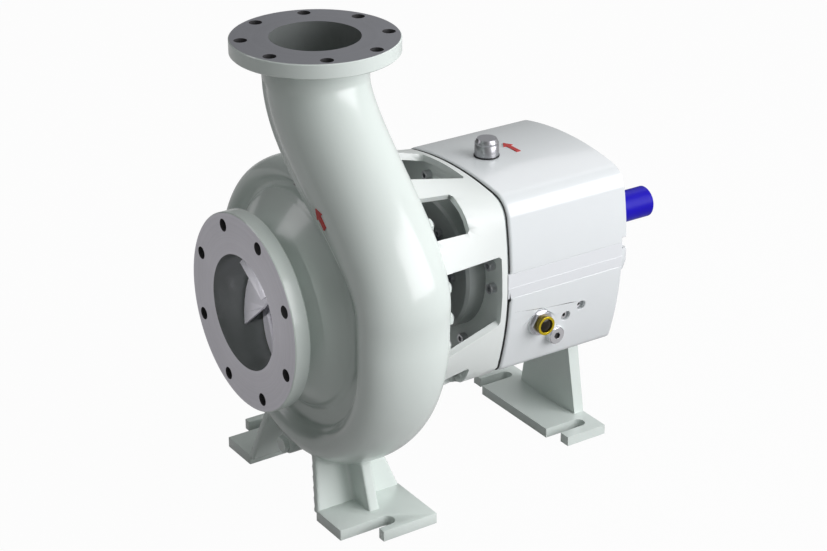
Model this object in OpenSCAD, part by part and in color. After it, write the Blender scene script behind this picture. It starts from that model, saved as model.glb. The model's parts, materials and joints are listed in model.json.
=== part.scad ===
// Horizontal end-suction process pump with a volute casing, a windowed lantern
// and an oil-lubricated bearing frame. Millimetres, X along the shaft towards the
// drive end, Z up, origin in the centre of the suction flange face.

/* [Show] */
// Sub-part to draw, or all of them together

/* [Main distances] */
// From the suction face to the discharge axis
suction_reach = 150; // [120:1:200]
// From the shaft axis up to the discharge face
discharge_height = 454; // [400:1:520]
// From the shaft axis down to the soles of the feet
shaft_height = 367; // [300:1:420]
// From the suction face to the end of the shaft
overall_length = 858; // [820:1:900]

/* [Flanges] */
// Outer diameter of the suction flange
suction_od = 342.9; // [300:0.1:380]
// Bolt circle of the suction flange
suction_pcd = 298.45; // [260:0.05:330]
// Bore of the suction branch
suction_bore = 200; // [180:1:210]
// Thickness of the suction flange
suction_thick = 28.6; // [20:0.1:36]
// Outer diameter of the discharge flange
discharge_od = 279.4; // [240:0.1:320]
// Bolt circle of the discharge flange
discharge_pcd = 241.3; // [200:0.05:280]
// Bore of the discharge branch
discharge_bore = 150; // [130:1:160]
// Thickness of the discharge flange
discharge_thick = 25.4; // [18:0.1:32]
// Bolt hole in both flanges
flange_hole = 22.2; // [16:0.1:26]
// Bolt holes in each flange
flange_holes = 8; // [4:4:12]

/* [Volute] */
// Radius of the impeller chamber
chamber_r = 205; // [180:1:230]
// Width of the impeller chamber
chamber_w = 64; // [50:1:80]
// Radius of the front rim where the suction neck ends
front_rim_r = 191.8; // [170:0.1:210]
// Wall of the volute
volute_wall = 12; // [8:1:18]
// Outside radius of the discharge branch
branch_r = 88; // [80:1:96]
// Share of the volute's half width that lies on its drive side
drive_share = 0.93; // [0.85:0.01:1]
// Outside radius of the rear flange of the casing
rear_flange_r = 222; // [210:1:240]
// Distance from the suction face to the rear face of the casing
casing_back_x = 234; // [220:1:250]

/* [Casing feet] */
// Half length of a casing foot along the shaft
foot_half_x = 84; // [60:1:100]
// Inner edge of a casing foot from the shaft plane
foot_inner_y = 113.6; // [90:0.1:130]
// Outer edge of a casing foot from the shaft plane
foot_outer_y = 234.2; // [210:0.1:250]
// Distance of a slot from the shaft plane
foot_slot_y = 205.5; // [180:0.5:220]
// Width of a foot slot
foot_slot_w = 27.2; // [20:0.1:32]
// Length of the short prong outside a slot, ahead of the slot's round end
foot_prong = 25; // [15:1:50]
// Thickness of a foot plate
foot_thick = 20; // [14:1:30]

/* [Casing bolting] */
// Studs round the casing
stud_count = 24; // [12:4:28]
// Radius of the stud circle
stud_circle_r = 204; // [198:1:215]
// Radius of a casing stud
stud_r = 8; // [6:1:10]
// Width across flats of a casing nut
nut_flats = 24; // [18:1:30]

/* [Lantern] */
// Front face of the lantern flange from the suction face
lantern_x0 = 246; // [240:1:255]
// Rear face of the lantern from the suction face
lantern_x1 = 418; // [400:1:430]
// Thickness of the lantern's front flange
lantern_flange = 16; // [12:1:22]
// Outside radius of the lantern where it leaves its front flange
lantern_r = 221; // [214:1:222]
// Radius of the lantern's open mouth in front
lantern_mouth_r = 170; // [160:1:176]
// Wall of the lantern
lantern_wall = 12; // [8:1:16]
// Thickness of the plate at the lantern's rear
lantern_plate = 10; // [8:1:16]

/* [Bearing frame] */
// Half width of the frame and its hood
frame_half = 171.5; // [150:0.5:190]
// Depth of the frame below the shaft axis
frame_depth = 180; // [165:1:195]
// Front edge of the frame's shell
frame_x0 = 424; // [420:1:430]
// Rear face of the frame's shell
frame_x1 = 667; // [640:1:690]
// Rear face of the hood
hood_x1 = 676; // [670:1:690]
// Top of the side strip above the shaft axis
strip_top = 26; // [20:1:32]
// Bottom of the side strip below the shaft axis
strip_low = 19; // [12:1:26]
// Bore for the rolling bearings
bearing_bore_r = 70; // [60:1:75]

/* [Rear foot] */
// Front edge of the rear foot's plate
rear_foot_x0 = 566; // [550:1:600]
// Rear edge of the rear foot's plate
rear_foot_x1 = 665; // [650:1:680]
// Half width of the rear foot's plate
rear_foot_half = 147.8; // [120:0.1:170]
// Distance of its slots from the shaft plane
rear_slot_y = 113.4; // [90:0.1:130]
// Width of its slots
rear_slot_w = 25; // [18:0.5:30]
// Thickness of its plate
rear_foot_thick = 18; // [12:1:24]

/* [Shaft] */
// Radius of the coupling end
shaft_end_r = 29; // [24:0.5:32]
// Radius of the bearing seats
bearing_seat_r = 32.5; // [30:0.5:40]
// Radius between the bearings
shaft_mid_r = 38; // [34:1:44]
// Radius under the sleeve
sleeve_seat_r = 30; // [26:0.5:34]
// Radius of the impeller seat
impeller_seat_r = 24; // [20:0.5:30]

/* [Impeller] */
// Radius of the impeller
impeller_r = 198; // [180:1:200]
// Impeller vanes
vane_count = 5; // [3:1:7]
// Radius of the impeller eye
eye_r = 92; // [80:1:95]

/* [Fittings] */
// Filler cap distance from the suction face
filler_x = 493.5; // [460:0.5:520]
// Radius of the filler cap
filler_r = 21.4; // [16:0.1:26]
// Sight glass distance from the suction face
sight_x = 494; // [470:1:520]
// Sight glass depth below the shaft axis
sight_z = 84; // [70:1:100]

/* [Hidden] */
// Radial gap between pieces that are fitted into each other
fit = 0.05;
// Gap between a turning and a standing face
run = 0.3;
paint = [0.80, 0.83, 0.82];
paint_dark = [0.62, 0.66, 0.65];
steel = [0.72, 0.72, 0.74];
dark_steel = [0.42, 0.43, 0.45];
cast = [0.55, 0.55, 0.56];
blue = [0.20, 0.13, 0.72];
brass = [0.78, 0.66, 0.16];
rubber = [0.08, 0.08, 0.09];
arrow_red = [0.75, 0.14, 0.13];

// Straight blend between two values
function mix(a, b, t) = a + (b - a) * t;
// Blend with level ends
function ease(t) = t * t * (3 - 2 * t);
// Value kept between two limits
function keep(v, lo, hi) = min(max(v, lo), hi);

// Draws a shape, made along its own Z, along the shaft
module along_x(x) {
    translate([x, 0, 0]) rotate([90, 0, 90]) children();
}

// Turned piece: profile points are [x along the shaft, radius]
module turned(profile, facets = 96) {
    rotate([90, 0, 90]) rotate_extrude($fn = facets) polygon([for (p = profile) [p[1], p[0]]]);
}

// Plain round bar along the shaft
module round_x(x0, x1, r) {
    along_x(x0) cylinder(r = r, h = x1 - x0, $fn = 96);
}

// Repeats a piece round the shaft
module ring_of(count, first = 0) {
    for (k = [0 : count - 1]) rotate([first + 360 / count * k, 0, 0]) children();
}

// Volute: spiral angle is 0 at the top and grows past +Y, the bottom and -Y
spiral_start = -12;
spiral_end = 270;
function volute_outer(a) = 232.7 + 0.3906 * a - 0.000375 * a * a;
function volute_half_w(a) = mix(50, 86, (a - 45) / 225);
function volute_half_h(a) = mix(24, 49, (a - 45) / 225);
throat_r = volute_outer(270) - volute_half_h(270);
bend_low = 60;
bend_high = 390;

// Station of the volute: y, z, angle of the outward normal, half width, half height,
// share of the inner edge, reach of the inner edge, its half width, share on the drive side
function spiral_station(a, wall, inner_r, inner_w) =
    let(h = volute_half_h(a), rc = volute_outer(a) - h)
    [rc * sin(a), rc * cos(a), a, volute_half_w(a) - wall, h - wall, 1, rc - inner_r, inner_w, drive_share];
function bend_share(z) = keep((z - bend_low) / (bend_high - bend_low), 0, 1);
function branch_station(z, wall, inner_r, inner_w) =
    let(s = bend_share(z),
        lean = atan(throat_r * sin(180 * s) * PI / 2 / (bend_high - bend_low)),
        g = ease(keep(z / 340, 0, 1)))
    [-throat_r * (1 + cos(180 * s)) / 2, z, 270 + lean,
     mix(volute_half_w(270), branch_r - 0.4, g) - wall,
     mix(volute_half_h(270), branch_r - 0.4, g) - wall,
     1 - ease(keep(z / 130, 0, 1)), throat_r - inner_r, inner_w, mix(drive_share, 1, g)];
function spiral_stations(first, wall, inner_r, inner_w) =
    [for (k = [0 : 26]) spiral_station(mix(first, spiral_end, k / 26), wall, inner_r, inner_w)];
function branch_stations(first, top, wall, inner_r, inner_w) =
    [for (k = [first : 18]) branch_station(top * k / 18, wall, inner_r, inner_w)];

// One point of a volute section; t runs round the section from the drive side outwards
function section_point(s, t, bead) =
    let(inward = t > 232 && t < 308,
        x = s[3] * cos(t) * (cos(t) > 0 ? s[8] : 1) - bead * 0.7,
        d = s[4] * sin(t) - bead * 0.7,
        k = inward ? s[5] : 0,
        flat_x = mix(-s[7], s[7], (t - 240) / 60))
    [suction_reach + mix(x, flat_x, k), mix(d, -s[6], k)];
function section_ring(s, angles, bead) = [for (t = angles)
    let(p = section_point(s, t, t == 225 ? bead : 0))
    [p[0], s[0] + p[1] * sin(s[2]), s[1] + p[1] * cos(s[2])]];
outer_angles = concat([for (t = [0 : 15 : 210]) t], [219, 225, 231], [for (t = [240 : 15 : 345]) t]);
inner_angles = [for (t = [0 : 20 : 340]) t];

// Closed skin through a row of sections
module section_skin(stations, angles, bead) {
    n = len(angles);
    k = len(stations);
    points = concat([for (s = stations) each section_ring(s, angles, bead)],
        [[suction_reach, stations[0][0], stations[0][1]],
         [suction_reach, stations[k - 1][0], stations[k - 1][1]]]);
    sides = [for (i = [0 : k - 2], j = [0 : n - 1])
        let(a = i * n + j, b = i * n + (j + 1) % n)
        each [[a, b, b + n], [a, b + n, a + n]]];
    start = [for (j = [0 : n - 1]) [k * n, (j + 1) % n, j]];
    finish = [for (j = [0 : n - 1]) [k * n + 1, (k - 1) * n + j, (k - 1) * n + (j + 1) % n]];
    polyhedron(points, concat(sides, start, finish));
}

// Turned profile of the suction neck, flaring to the front rim
neck_steps = 10;
neck_profile = concat([[suction_thick - 2, 60], [suction_thick - 2, 122]],
    [for (k = [0 : neck_steps]) let(t = k / neck_steps)
        [mix(suction_thick + 4, suction_reach - 56, t), 122 + 62 * pow(t, 1.35)]],
    [for (a = [20 : 20 : 80]) [suction_reach - 56 + 6 * sin(a), 184 + 7.8 * (1 - cos(a))]],
    [[suction_reach - 50, front_rim_r], [casing_back_x - 20, front_rim_r], [casing_back_x - 20, 60]]);

// One casing foot on the +Y side: plate, slot, leaning web and rib
leg_lean = 18;
leg_web = 14;
leg_height = 112;
module casing_foot() {
    plate_top = foot_thick - shaft_height;
    difference() {
        union() {
            translate([suction_reach - foot_half_x, foot_inner_y, -shaft_height])
                cube([2 * foot_half_x, foot_slot_y - foot_slot_w / 2 - foot_inner_y, foot_thick]);
            translate([suction_reach - foot_prong, foot_inner_y, -shaft_height])
                cube([foot_half_x + foot_prong, foot_outer_y - foot_inner_y, foot_thick]);
        }
        translate([suction_reach - foot_prong - 1, foot_slot_y - foot_slot_w / 2, -shaft_height - 1])
            cube([foot_prong + 1, foot_slot_w, foot_thick + 2]);
        translate([suction_reach, foot_slot_y, -shaft_height - 1])
            cylinder(d = foot_slot_w, h = foot_thick + 2, $fn = 48);
    }
    // Web along the inner edge, leaning towards the shaft plane
    translate([suction_reach, foot_inner_y + 5, plate_top - 4]) rotate([leg_lean, 0, 0]) translate([0, 0, 0])
        rotate([90, 0, 0]) linear_extrude(height = leg_web)
            polygon([[-foot_half_x, 0], [foot_half_x - 1, 0], [foot_half_x - 34, leg_height],
                [-foot_half_x + 17, leg_height]]);
    // Rib across the middle
    along_x(suction_reach - 10) linear_extrude(height = 20)
        polygon([[foot_inner_y, plate_top - 4], [168.5, plate_top - 4], [138, plate_top + 88], [70, plate_top + 100],
            [90, plate_top + 60]]);
}

// Angles of the studs: every place on the circle that isn't under a rib of the lantern
stud_angles = [for (k = [0 : stud_count - 1]) let(a = 360 / stud_count * k, q = abs((a + 90) % 180 - 90))
    if (q < 18 || q > 72 || abs(q - 45) < 8) a];
module at_studs() {
    for (a = stud_angles) rotate([a, 0, 0]) translate([0, 0, stud_circle_r]) children();
}

module volute_casing() {
    color(paint) difference() {
        union() {
            section_skin(spiral_stations(spiral_start, 0, 176, 50), outer_angles, 3);
            section_skin(branch_stations(0, 400, 0, 176, 50), outer_angles, 3);
            turned(neck_profile);
            round_x(0, suction_thick, suction_od / 2);
            round_x(casing_back_x - 30, casing_back_x, rear_flange_r);
            translate([suction_reach, 0, 384]) cylinder(r = branch_r, h = discharge_height - 390, $fn = 96);
            translate([suction_reach, 0, discharge_height - discharge_thick])
                cylinder(d = discharge_od, h = discharge_thick, $fn = 128);
            casing_foot();
            mirror([0, 1, 0]) casing_foot();
            // Boss for the casing drain plug
            translate([0, drain_y, -drain_z]) round_x(drain_x, suction_reach, 19);
        }
        section_skin(concat(spiral_stations(10, volute_wall, 196, 28), branch_stations(1, 402, volute_wall, 196, 28)),
            inner_angles, 0);
        translate([suction_reach, 0, 392]) cylinder(d = discharge_bore, h = 80, $fn = 96);
        round_x(-1, suction_reach, suction_bore / 2);
        round_x(suction_reach - chamber_w / 2, suction_reach + chamber_w / 2, chamber_r);
        round_x(suction_reach, casing_back_x + 1, spigot_r);
        ring_of(flange_holes, 22.5) translate([0, 0, suction_pcd / 2]) round_x(-1, suction_thick + 1, flange_hole / 2);
        translate([suction_reach, 0, discharge_height - discharge_thick - 1])
            for (k = [0 : flange_holes - 1]) rotate([0, 0, 22.5 + 45 * k])
                translate([discharge_pcd / 2, 0, 0]) cylinder(d = flange_hole, h = discharge_thick + 2, $fn = 32);
        at_studs() round_x(casing_back_x - 24, casing_back_x + 1, stud_r + fit);
        // Seat of the drain plug
        translate([0, drain_y, -drain_z]) round_x(drain_x - 1, drain_x + 16, 10);
    }
}
spigot_r = 190;
drain_x = 92;
drain_y = 30;
drain_z = 292;

wear_bore_r = 98.6;
module front_wear_plate() {
    x0 = suction_reach - chamber_w / 2;
    color(cast) turned([[x0, wear_bore_r], [x0, 200], [x0 + 7, 200], [x0 + 7, wear_bore_r]]);
}

// Impeller: closed, with an eye neck, two shrouds, curved vanes and a hub
imp_x0 = suction_reach - 31;
imp_x1 = suction_reach + 24;
module impeller() {
    color(steel) {
        turned([[imp_x0, eye_r], [imp_x0, wear_bore_r - run - 0.3], [imp_x0 + 8, wear_bore_r - run - 0.3],
            [imp_x0 + 9.5, 112], [imp_x0 + 11, impeller_r], [imp_x0 + 16, impeller_r], [imp_x0 + 15.5, 130],
            [imp_x0 + 12, 100], [imp_x0 + 6, eye_r]]);
        difference() {
            turned([[imp_x1 - 54, impeller_seat_r + fit], [imp_x1 - 54, 33], [imp_x1 - 40, 38], [imp_x1 - 18, 52],
                [imp_x1 - 9, 90], [imp_x1 - 7, impeller_r], [imp_x1, impeller_r], [imp_x1, impeller_seat_r + fit]]);
            key_slot();
        }
        intersection() {
            turned([[imp_x0 + 4, 28], [imp_x0 + 4, 91], [imp_x0 + 13.5, 101], [imp_x0 + 15.8, 130],
                [imp_x0 + 15.8, impeller_r - 0.5], [imp_x1 - 6.5, impeller_r - 0.5], [imp_x1 - 8, 90],
                [imp_x1 - 17, 50], [imp_x1 - 38, 36], [imp_x1 - 46, 34.5]]);
            ring_of(vane_count, 10) impeller_vane();
        }
        ring_of(vane_count, inlet_angle) inlet_vane();
    }
}
// Inlet part of a vane: a helical blade that runs forward into the suction bore
inlet_x0 = 42.7;
inlet_rise = 0.5;
inlet_sweep = 168;
inlet_angle = -131;
inlet_steps = 14;
module inlet_vane() {
    points = [for (k = [0 : inlet_steps]) let(t = k / inlet_steps, x = inlet_x0 + inlet_rise * inlet_sweep * t,
        a = inlet_sweep * t, inner = x < imp_x0 ? mix(14, 34, t) : 29, outer = x < imp_x0 - 5 ? 96 : eye_r - 0.6)
        each [for (q = [[inner, 0], [outer, 0], [outer, 5], [inner, 5]]) [x + q[1], -q[0] * sin(a), q[0] * cos(a)]]];
    sides = [for (k = [0 : inlet_steps - 1], j = [0 : 3]) let(a = 4 * k + j, b = 4 * k + (j + 1) % 4)
        each [[a, b, b + 4], [a, b + 4, a + 4]]];
    last = 4 * inlet_steps;
    polyhedron(points, concat(sides, [[2, 1, 0], [3, 2, 0], [last, last + 1, last + 2], [last, last + 2, last + 3]]));
}
// Backward-curved vane: an arc that leans away from the sense of turning
vane_arc_r = 130;
vane_arc_centre = 95;
vane_thick = 6;
module impeller_vane() {
    along_x(imp_x0) linear_extrude(height = imp_x1 - imp_x0) intersection() {
        translate([0, vane_arc_centre]) difference() {
            circle(r = vane_arc_r + vane_thick / 2, $fn = 96);
            circle(r = vane_arc_r - vane_thick / 2, $fn = 96);
        }
        translate([0.4, -240]) square([240, 480]);
    }
}

// Parallel key and its slot in the hub
key_w = 14;
module key_block(extra) {
    translate([imp_x1 - 46, -key_w / 2 - extra, impeller_seat_r - 5]) cube([38, key_w + 2 * extra, 9 + extra]);
}
module key_slot() {
    key_block(fit);
}
module impeller_key() {
    color(steel) key_block(0);
}

module impeller_nut() {
    x = imp_x1 - 54;
    color(steel) difference() {
        union() {
            turned([[x - 6, 0], [x - 30, 0], [x - 29, 10], [x - 24, 19], [x - 16, 26], [x - 6, 29], [x, 30],
                [x, 0]]);
        }
        round_x(x - 22, x + 1, 15 + fit);
    }
}

// Rear wall of the pump chamber with the seal chamber
cover_x0 = suction_reach + 26;
cover_flange_x = casing_back_x + 2;
chamber_back_x = 292;
module casing_cover() {
    color(cast) difference() {
        turned([[cover_x0, 38.5], [cover_x0, 150], [cover_x0 + 4, spigot_r - fit], [cover_flange_x, spigot_r - fit],
            [cover_flange_x, rear_flange_r - 1], [lantern_x0, rear_flange_r - 1], [lantern_x0, 160],
            [cover_x0 + 26, 148], [cover_x0 + 22, 96], [cover_x0 + 40, 80], [chamber_back_x, 80],
            [chamber_back_x, 52], [cover_x0 + 16, 52], [cover_x0 + 16, 38.5]]);
        at_studs() round_x(cover_flange_x - 1, lantern_x0 + 1, stud_r + 0.5);
        ring_of(4, 45) translate([0, 0, 66]) round_x(chamber_back_x - 18, chamber_back_x + 1, 5 + fit);
    }
}

module casing_gasket() {
    color(rubber) turned([[casing_back_x, spigot_r], [casing_back_x, 195.5], [cover_flange_x, 195.5],
        [cover_flange_x, spigot_r]]);
}

stud_end_x = lantern_x0 + lantern_flange + 19;
module casing_studs() {
    color(steel) at_studs() round_x(casing_back_x - 22, stud_end_x, stud_r);
}

module casing_nuts() {
    x = lantern_x0 + lantern_flange;
    color(paint) at_studs() hex_nut(x, 14.5, nut_flats, stud_r + fit);
}

// Hexagon nut along the shaft
module hex_nut(x, h, flats, hole) {
    difference() {
        along_x(x) rotate([0, 0, 30]) cylinder(d = flats / cos(30), h = h, $fn = 6);
        round_x(x - 1, x + h + 1, hole);
    }
}

// Socket-head screw along the shaft, head towards the suction side
module cap_screw_x(x_seat, shank_end, shank_r, head_r, head_h) {
    difference() {
        union() {
            round_x(x_seat - head_h, x_seat, head_r);
            round_x(x_seat - 1, shank_end, shank_r);
        }
        along_x(x_seat - head_h - 1) cylinder(r = head_r * 0.56, h = head_h * 0.6 + 1, $fn = 6);
    }
}

// Socket-head screw along the shaft, head towards the drive side
module cap_screw_rear(x_seat, shank_end, shank_r, head_r, head_h) {
    translate([x_seat, 0, 0]) mirror([1, 0, 0]) cap_screw_x(0, x_seat - shank_end, shank_r, head_r, head_h);
}

shaft_thread_r = 15;
lock_thread_r = 31;
// Coupling keyway: its width, and the place and distance of the centres of its round ends
coupling_key_w = 16;
coupling_key_run = 56;
coupling_key_x = overall_length - 14 - coupling_key_run;
module shaft() {
    hub_x = imp_x1 - 54;
    color(blue) difference() {
        turned([[hub_x - 20, 0], [hub_x - 20, shaft_thread_r - 1], [hub_x - 19, shaft_thread_r], [hub_x, shaft_thread_r],
            [hub_x, impeller_seat_r], [imp_x1, impeller_seat_r], [imp_x1, sleeve_seat_r], [400, sleeve_seat_r],
            [400, bearing_seat_r], [465, bearing_seat_r], [465, shaft_mid_r], [597, shaft_mid_r],
            [597, bearing_seat_r], [663, bearing_seat_r], [663, lock_thread_r], [680, lock_thread_r], [680, 30],
            [696, 30], [696, shaft_end_r], [overall_length - 2, shaft_end_r], [overall_length, shaft_end_r - 2],
            [overall_length, 0]]);
        // Impeller keyway
        key_block(fit);
        // Coupling keyway on the lower side, with round ends
        translate([coupling_key_x, 0, -shaft_end_r - 1]) cylinder(r = coupling_key_w / 2, h = 7, $fn = 32);
        translate([coupling_key_x, -coupling_key_w / 2, -shaft_end_r - 1]) cube([coupling_key_run, coupling_key_w, 7]);
        translate([coupling_key_x + coupling_key_run, 0, -shaft_end_r - 1])
            cylinder(r = coupling_key_w / 2, h = 7, $fn = 32);
    }
}

sleeve_x1 = 332;
sleeve_r = 37;
module shaft_sleeve() {
    color(steel) turned([[imp_x1, sleeve_seat_r + fit], [imp_x1, sleeve_r], [sleeve_x1, sleeve_r],
        [sleeve_x1, sleeve_seat_r + fit]]);
}

module seal_rotor() {
    color(dark_steel) turned([[226, sleeve_r + fit], [226, 49], [262, 49], [262, 46], [276, 46], [276, sleeve_r + fit]]);
}

module seal_seat() {
    color(rubber) turned([[276 + run, 40], [276 + run, 47], [286, 47], [286, 50], [chamber_back_x, 50],
        [chamber_back_x, 40]]);
}

gland_x1 = chamber_back_x + 16;
module seal_gland() {
    color(steel) difference() {
        turned([[chamber_back_x, 38.5], [chamber_back_x, 80], [gland_x1, 80], [gland_x1, 56], [gland_x1 + 8, 52],
            [gland_x1 + 8, 38.5]]);
        ring_of(4, 45) translate([0, 0, 66]) round_x(chamber_back_x - 1, gland_x1 + 1, 5.5);
    }
}

module gland_studs() {
    color(steel) ring_of(4, 45) translate([0, 0, 66]) round_x(chamber_back_x - 16, gland_x1 + 12, 5);
}

module gland_nuts() {
    color(steel) ring_of(4, 45) translate([0, 0, 66]) hex_nut(gland_x1, 8, 16, 5 + fit);
}

module slinger() {
    color(rubber) turned([[348, sleeve_seat_r + fit], [348, 40], [354, 44], [354, 62], [358, 64], [361, 64],
        [361, sleeve_seat_r + fit]]);
}

// Outline of the frame: crowned top and sides, big upper and small lower corners
crown_r = 640;
side_low_r = 560;
side_low_z = 10;
bottom_r = 1500;
corner_top_r = 45;
corner_low_r = 20;
top_c = [0, frame_half - crown_r];
side_top_c = [crown_r - frame_half, 0];
side_low_c = [side_low_r - frame_half - 0.9, side_low_z];
bottom_c = [0, bottom_r - frame_depth];
// Crossing of two circles, on the side away from +Y
function circle_meet(c1, r1, c2, r2, side) =
    let(d = norm(c2 - c1), u = (c2 - c1) / d, a = (r1 * r1 - r2 * r2 + d * d) / (2 * d),
        h = sqrt(r1 * r1 - a * a), m = c1 + a * u)
    m + side * h * [-u[1], u[0]];
top_fillet = circle_meet(top_c, crown_r - corner_top_r, side_top_c, crown_r - corner_top_r, 1);
low_fillet = circle_meet(bottom_c, bottom_r - corner_low_r, side_low_c, side_low_r - corner_low_r, -1);
function away(c, f) = (f - c) / norm(f - c);
// Corner piece outside a fillet's two tangent points
function corner_block(f, c1, c2, r) = [f, f + away(c1, f) * r, f + (away(c1, f) + away(c2, f)) * r, f + away(c2, f) * r];

module half_outline(inset) {
    // Upper half, the -Y quarter
    intersection() {
        translate(top_c) circle(r = crown_r - inset, $fn = 360);
        translate(side_top_c) circle(r = crown_r - inset, $fn = 360);
        translate([-300, 0]) square([300, 300]);
        difference() {
            translate([-300, 0]) square([300, 300]);
            polygon(corner_block(top_fillet, top_c, side_top_c, 90));
        }
    }
}
module upper_outline(inset) {
    for (m = [0, 1]) mirror([m, 0]) {
        half_outline(inset);
        intersection() {
            translate(top_fillet) circle(r = corner_top_r - inset, $fn = 96);
            polygon(corner_block(top_fillet, top_c, side_top_c, 90));
        }
    }
}
module lower_outline(inset) {
    for (m = [0, 1]) mirror([m, 0]) {
        intersection() {
            translate(bottom_c) circle(r = bottom_r - inset, $fn = 360);
            translate(side_low_c) circle(r = side_low_r - inset, $fn = 360);
            difference() {
                translate([-300, -300]) square([300, 300]);
                polygon(corner_block(low_fillet, bottom_c, side_low_c, 60));
            }
        }
        intersection() {
            translate(low_fillet) circle(r = corner_low_r - inset, $fn = 96);
            polygon(corner_block(low_fillet, bottom_c, side_low_c, 60));
        }
    }
}

// Distance from the axis to the frame's outline in direction [sin, cos], for the lantern
function ray_out(c, r, d) = let(k = d * c) k + sqrt(k * k + r * r - c * c);
function turn_of(v) = atan2(-v[0], v[1]);
function outline_r(angle, inset) =
    let(a = abs(angle), d = [-sin(a), cos(a)],
        t1 = turn_of(top_c + away(top_c, top_fillet) * crown_r),
        t2 = turn_of(side_top_c + away(side_top_c, top_fillet) * crown_r),
        t3 = turn_of(side_low_c + away(side_low_c, low_fillet) * side_low_r),
        t4 = turn_of(bottom_c + away(bottom_c, low_fillet) * bottom_r))
    a < t1 ? ray_out(top_c, crown_r - inset, d)
    : a < t2 ? ray_out(top_fillet, corner_top_r - inset, d)
    : a < 90 ? ray_out(side_top_c, crown_r - inset, d)
    : a < t3 ? ray_out(side_low_c, side_low_r - inset, d)
    : a < t4 ? ray_out(low_fillet, corner_low_r - inset, d)
    : ray_out(bottom_c, bottom_r - inset, d);

// Lantern shell: round in front, the frame's outline at the rear
lantern_sides = 72;
lantern_rows = 6;
function lantern_ring(x, inset) =
    let(g = keep((x - lantern_x0 - lantern_flange) / (lantern_x1 - lantern_x0 - lantern_flange), 0, 1))
    [for (k = [0 : lantern_sides - 1]) let(a = -180 + 360 * (k + 0.5) / lantern_sides,
        r = mix(lantern_r - inset, outline_r(a, inset), g)) [x, -r * sin(a), r * cos(a)]];
module lantern_skin(x0, x1, inset) {
    n = lantern_sides;
    k = lantern_rows;
    points = [for (i = [0 : k]) each lantern_ring(mix(x0, x1, i / k), inset)];
    sides = [for (i = [0 : k - 1], j = [0 : n - 1]) let(a = i * n + j, b = i * n + (j + 1) % n)
        each [[a, b + n, b], [a, a + n, b + n]]];
    polyhedron(points, concat(sides, [[for (j = [0 : n - 1]) j]], [[for (j = [0 : n - 1]) k * n + n - 1 - j]]));
}

// A lantern window: its long edges lie on planes through the shaft, its rear corners are cut off
window_x0 = lantern_x0 + lantern_flange;
window_depth = 120;
window_reach = 260;
module window(middle, half_angle, x_end, at_r, corner) {
    w = at_r * tan(half_angle);
    side = window_reach * tan(half_angle);
    rotate([middle, 0, 0]) intersection() {
        translate([0, 0, window_depth]) linear_extrude(height = window_reach - window_depth)
            polygon([[window_x0, -side], [x_end - corner - side + w, -side], [x_end - corner, -w],
                [x_end, -w + corner], [x_end, w - corner], [x_end - corner, w], [x_end - corner - side + w, side],
                [window_x0, side]]);
        along_x(window_x0) linear_extrude(height = x_end - window_x0)
            polygon([[0, 0], [side, window_reach], [-side, window_reach]]);
    }
}
window_ends = [402, 340, 404, 349];

plate_bore_r = 90;
module lantern() {
    color(paint) difference() {
        union() {
            lantern_skin(lantern_x0 + lantern_flange - 4, lantern_x1, 0);
            round_x(lantern_x0, lantern_x0 + lantern_flange, rear_flange_r);
        }
        lantern_skin(lantern_x0 + lantern_flange - 2, lantern_x1 - lantern_plate, lantern_wall);
        round_x(lantern_x0 - 1, lantern_x0 + lantern_flange + 2, lantern_mouth_r);
        round_x(lantern_x1 - lantern_plate - 1, lantern_x1 + 1, plate_bore_r);
        at_studs() round_x(lantern_x0 - 1, lantern_x0 + lantern_flange + 1, stud_r + 0.5);
        for (a = frame_screw_angles) rotate([a, 0, 0]) translate([0, 0, frame_screw_r])
            round_x(lantern_x1 - lantern_plate - 1, lantern_x1 + 1, 6 + fit);
        for (a = [0, 180]) window(a, 21, window_ends[0], 180, 8);
        for (s = [-1, 1]) {
            window(s * 43.5, 10.3, window_ends[1], 217, 7);
            window(s * 89.5, 20.5, window_ends[2], 180, 8);
            window(s * 139, 9.5, window_ends[3], 215, 7);
        }
    }
}

frame_screw_angles = [20, 75, 91, 154, 206, 269, 285, 340];
frame_screw_r = 147;
module lantern_screws() {
    color(dark_steel) for (a = frame_screw_angles) rotate([a, 0, 0]) translate([0, 0, frame_screw_r])
        cap_screw_x(lantern_x1 - lantern_plate, lantern_x1 + 15, 6, 9, 12);
}

front_cover_r = 122;
front_cover_x = 370;
front_face_x = 432;
module front_bearing_cover() {
    color(paint_dark) difference() {
        turned([[front_cover_x + 8, 36], [front_cover_x + 8, 62], [front_cover_x, 66], [front_cover_x, front_cover_r - 5],
            [front_cover_x + 5, front_cover_r], [lantern_x1 - lantern_plate, front_cover_r],
            [lantern_x1 - lantern_plate, plate_bore_r - fit], [lantern_x1, plate_bore_r - fit],
            [lantern_x1, bearing_bore_r - fit], [front_face_x, bearing_bore_r - fit], [front_face_x, 60],
            [front_cover_x + 24, 60], [front_cover_x + 24, 36]]);
        ring_of(6, 30) translate([0, 0, 80]) round_x(front_cover_x - 1, lantern_x1 + 1, 4 + fit);
        round_x(front_cover_x + 7, front_cover_x + 18, 42 + fit);
    }
}

module front_cover_screws() {
    color(dark_steel) ring_of(6, 30) translate([0, 0, 80])
        cap_screw_x(front_cover_x, lantern_x1 + 14, 4, 6.5, 8);
}

module front_lip_seal() {
    color(rubber) turned([[front_cover_x + 8, 31], [front_cover_x + 8, 42], [front_cover_x + 18, 42],
        [front_cover_x + 18, 31]]);
}

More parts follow.
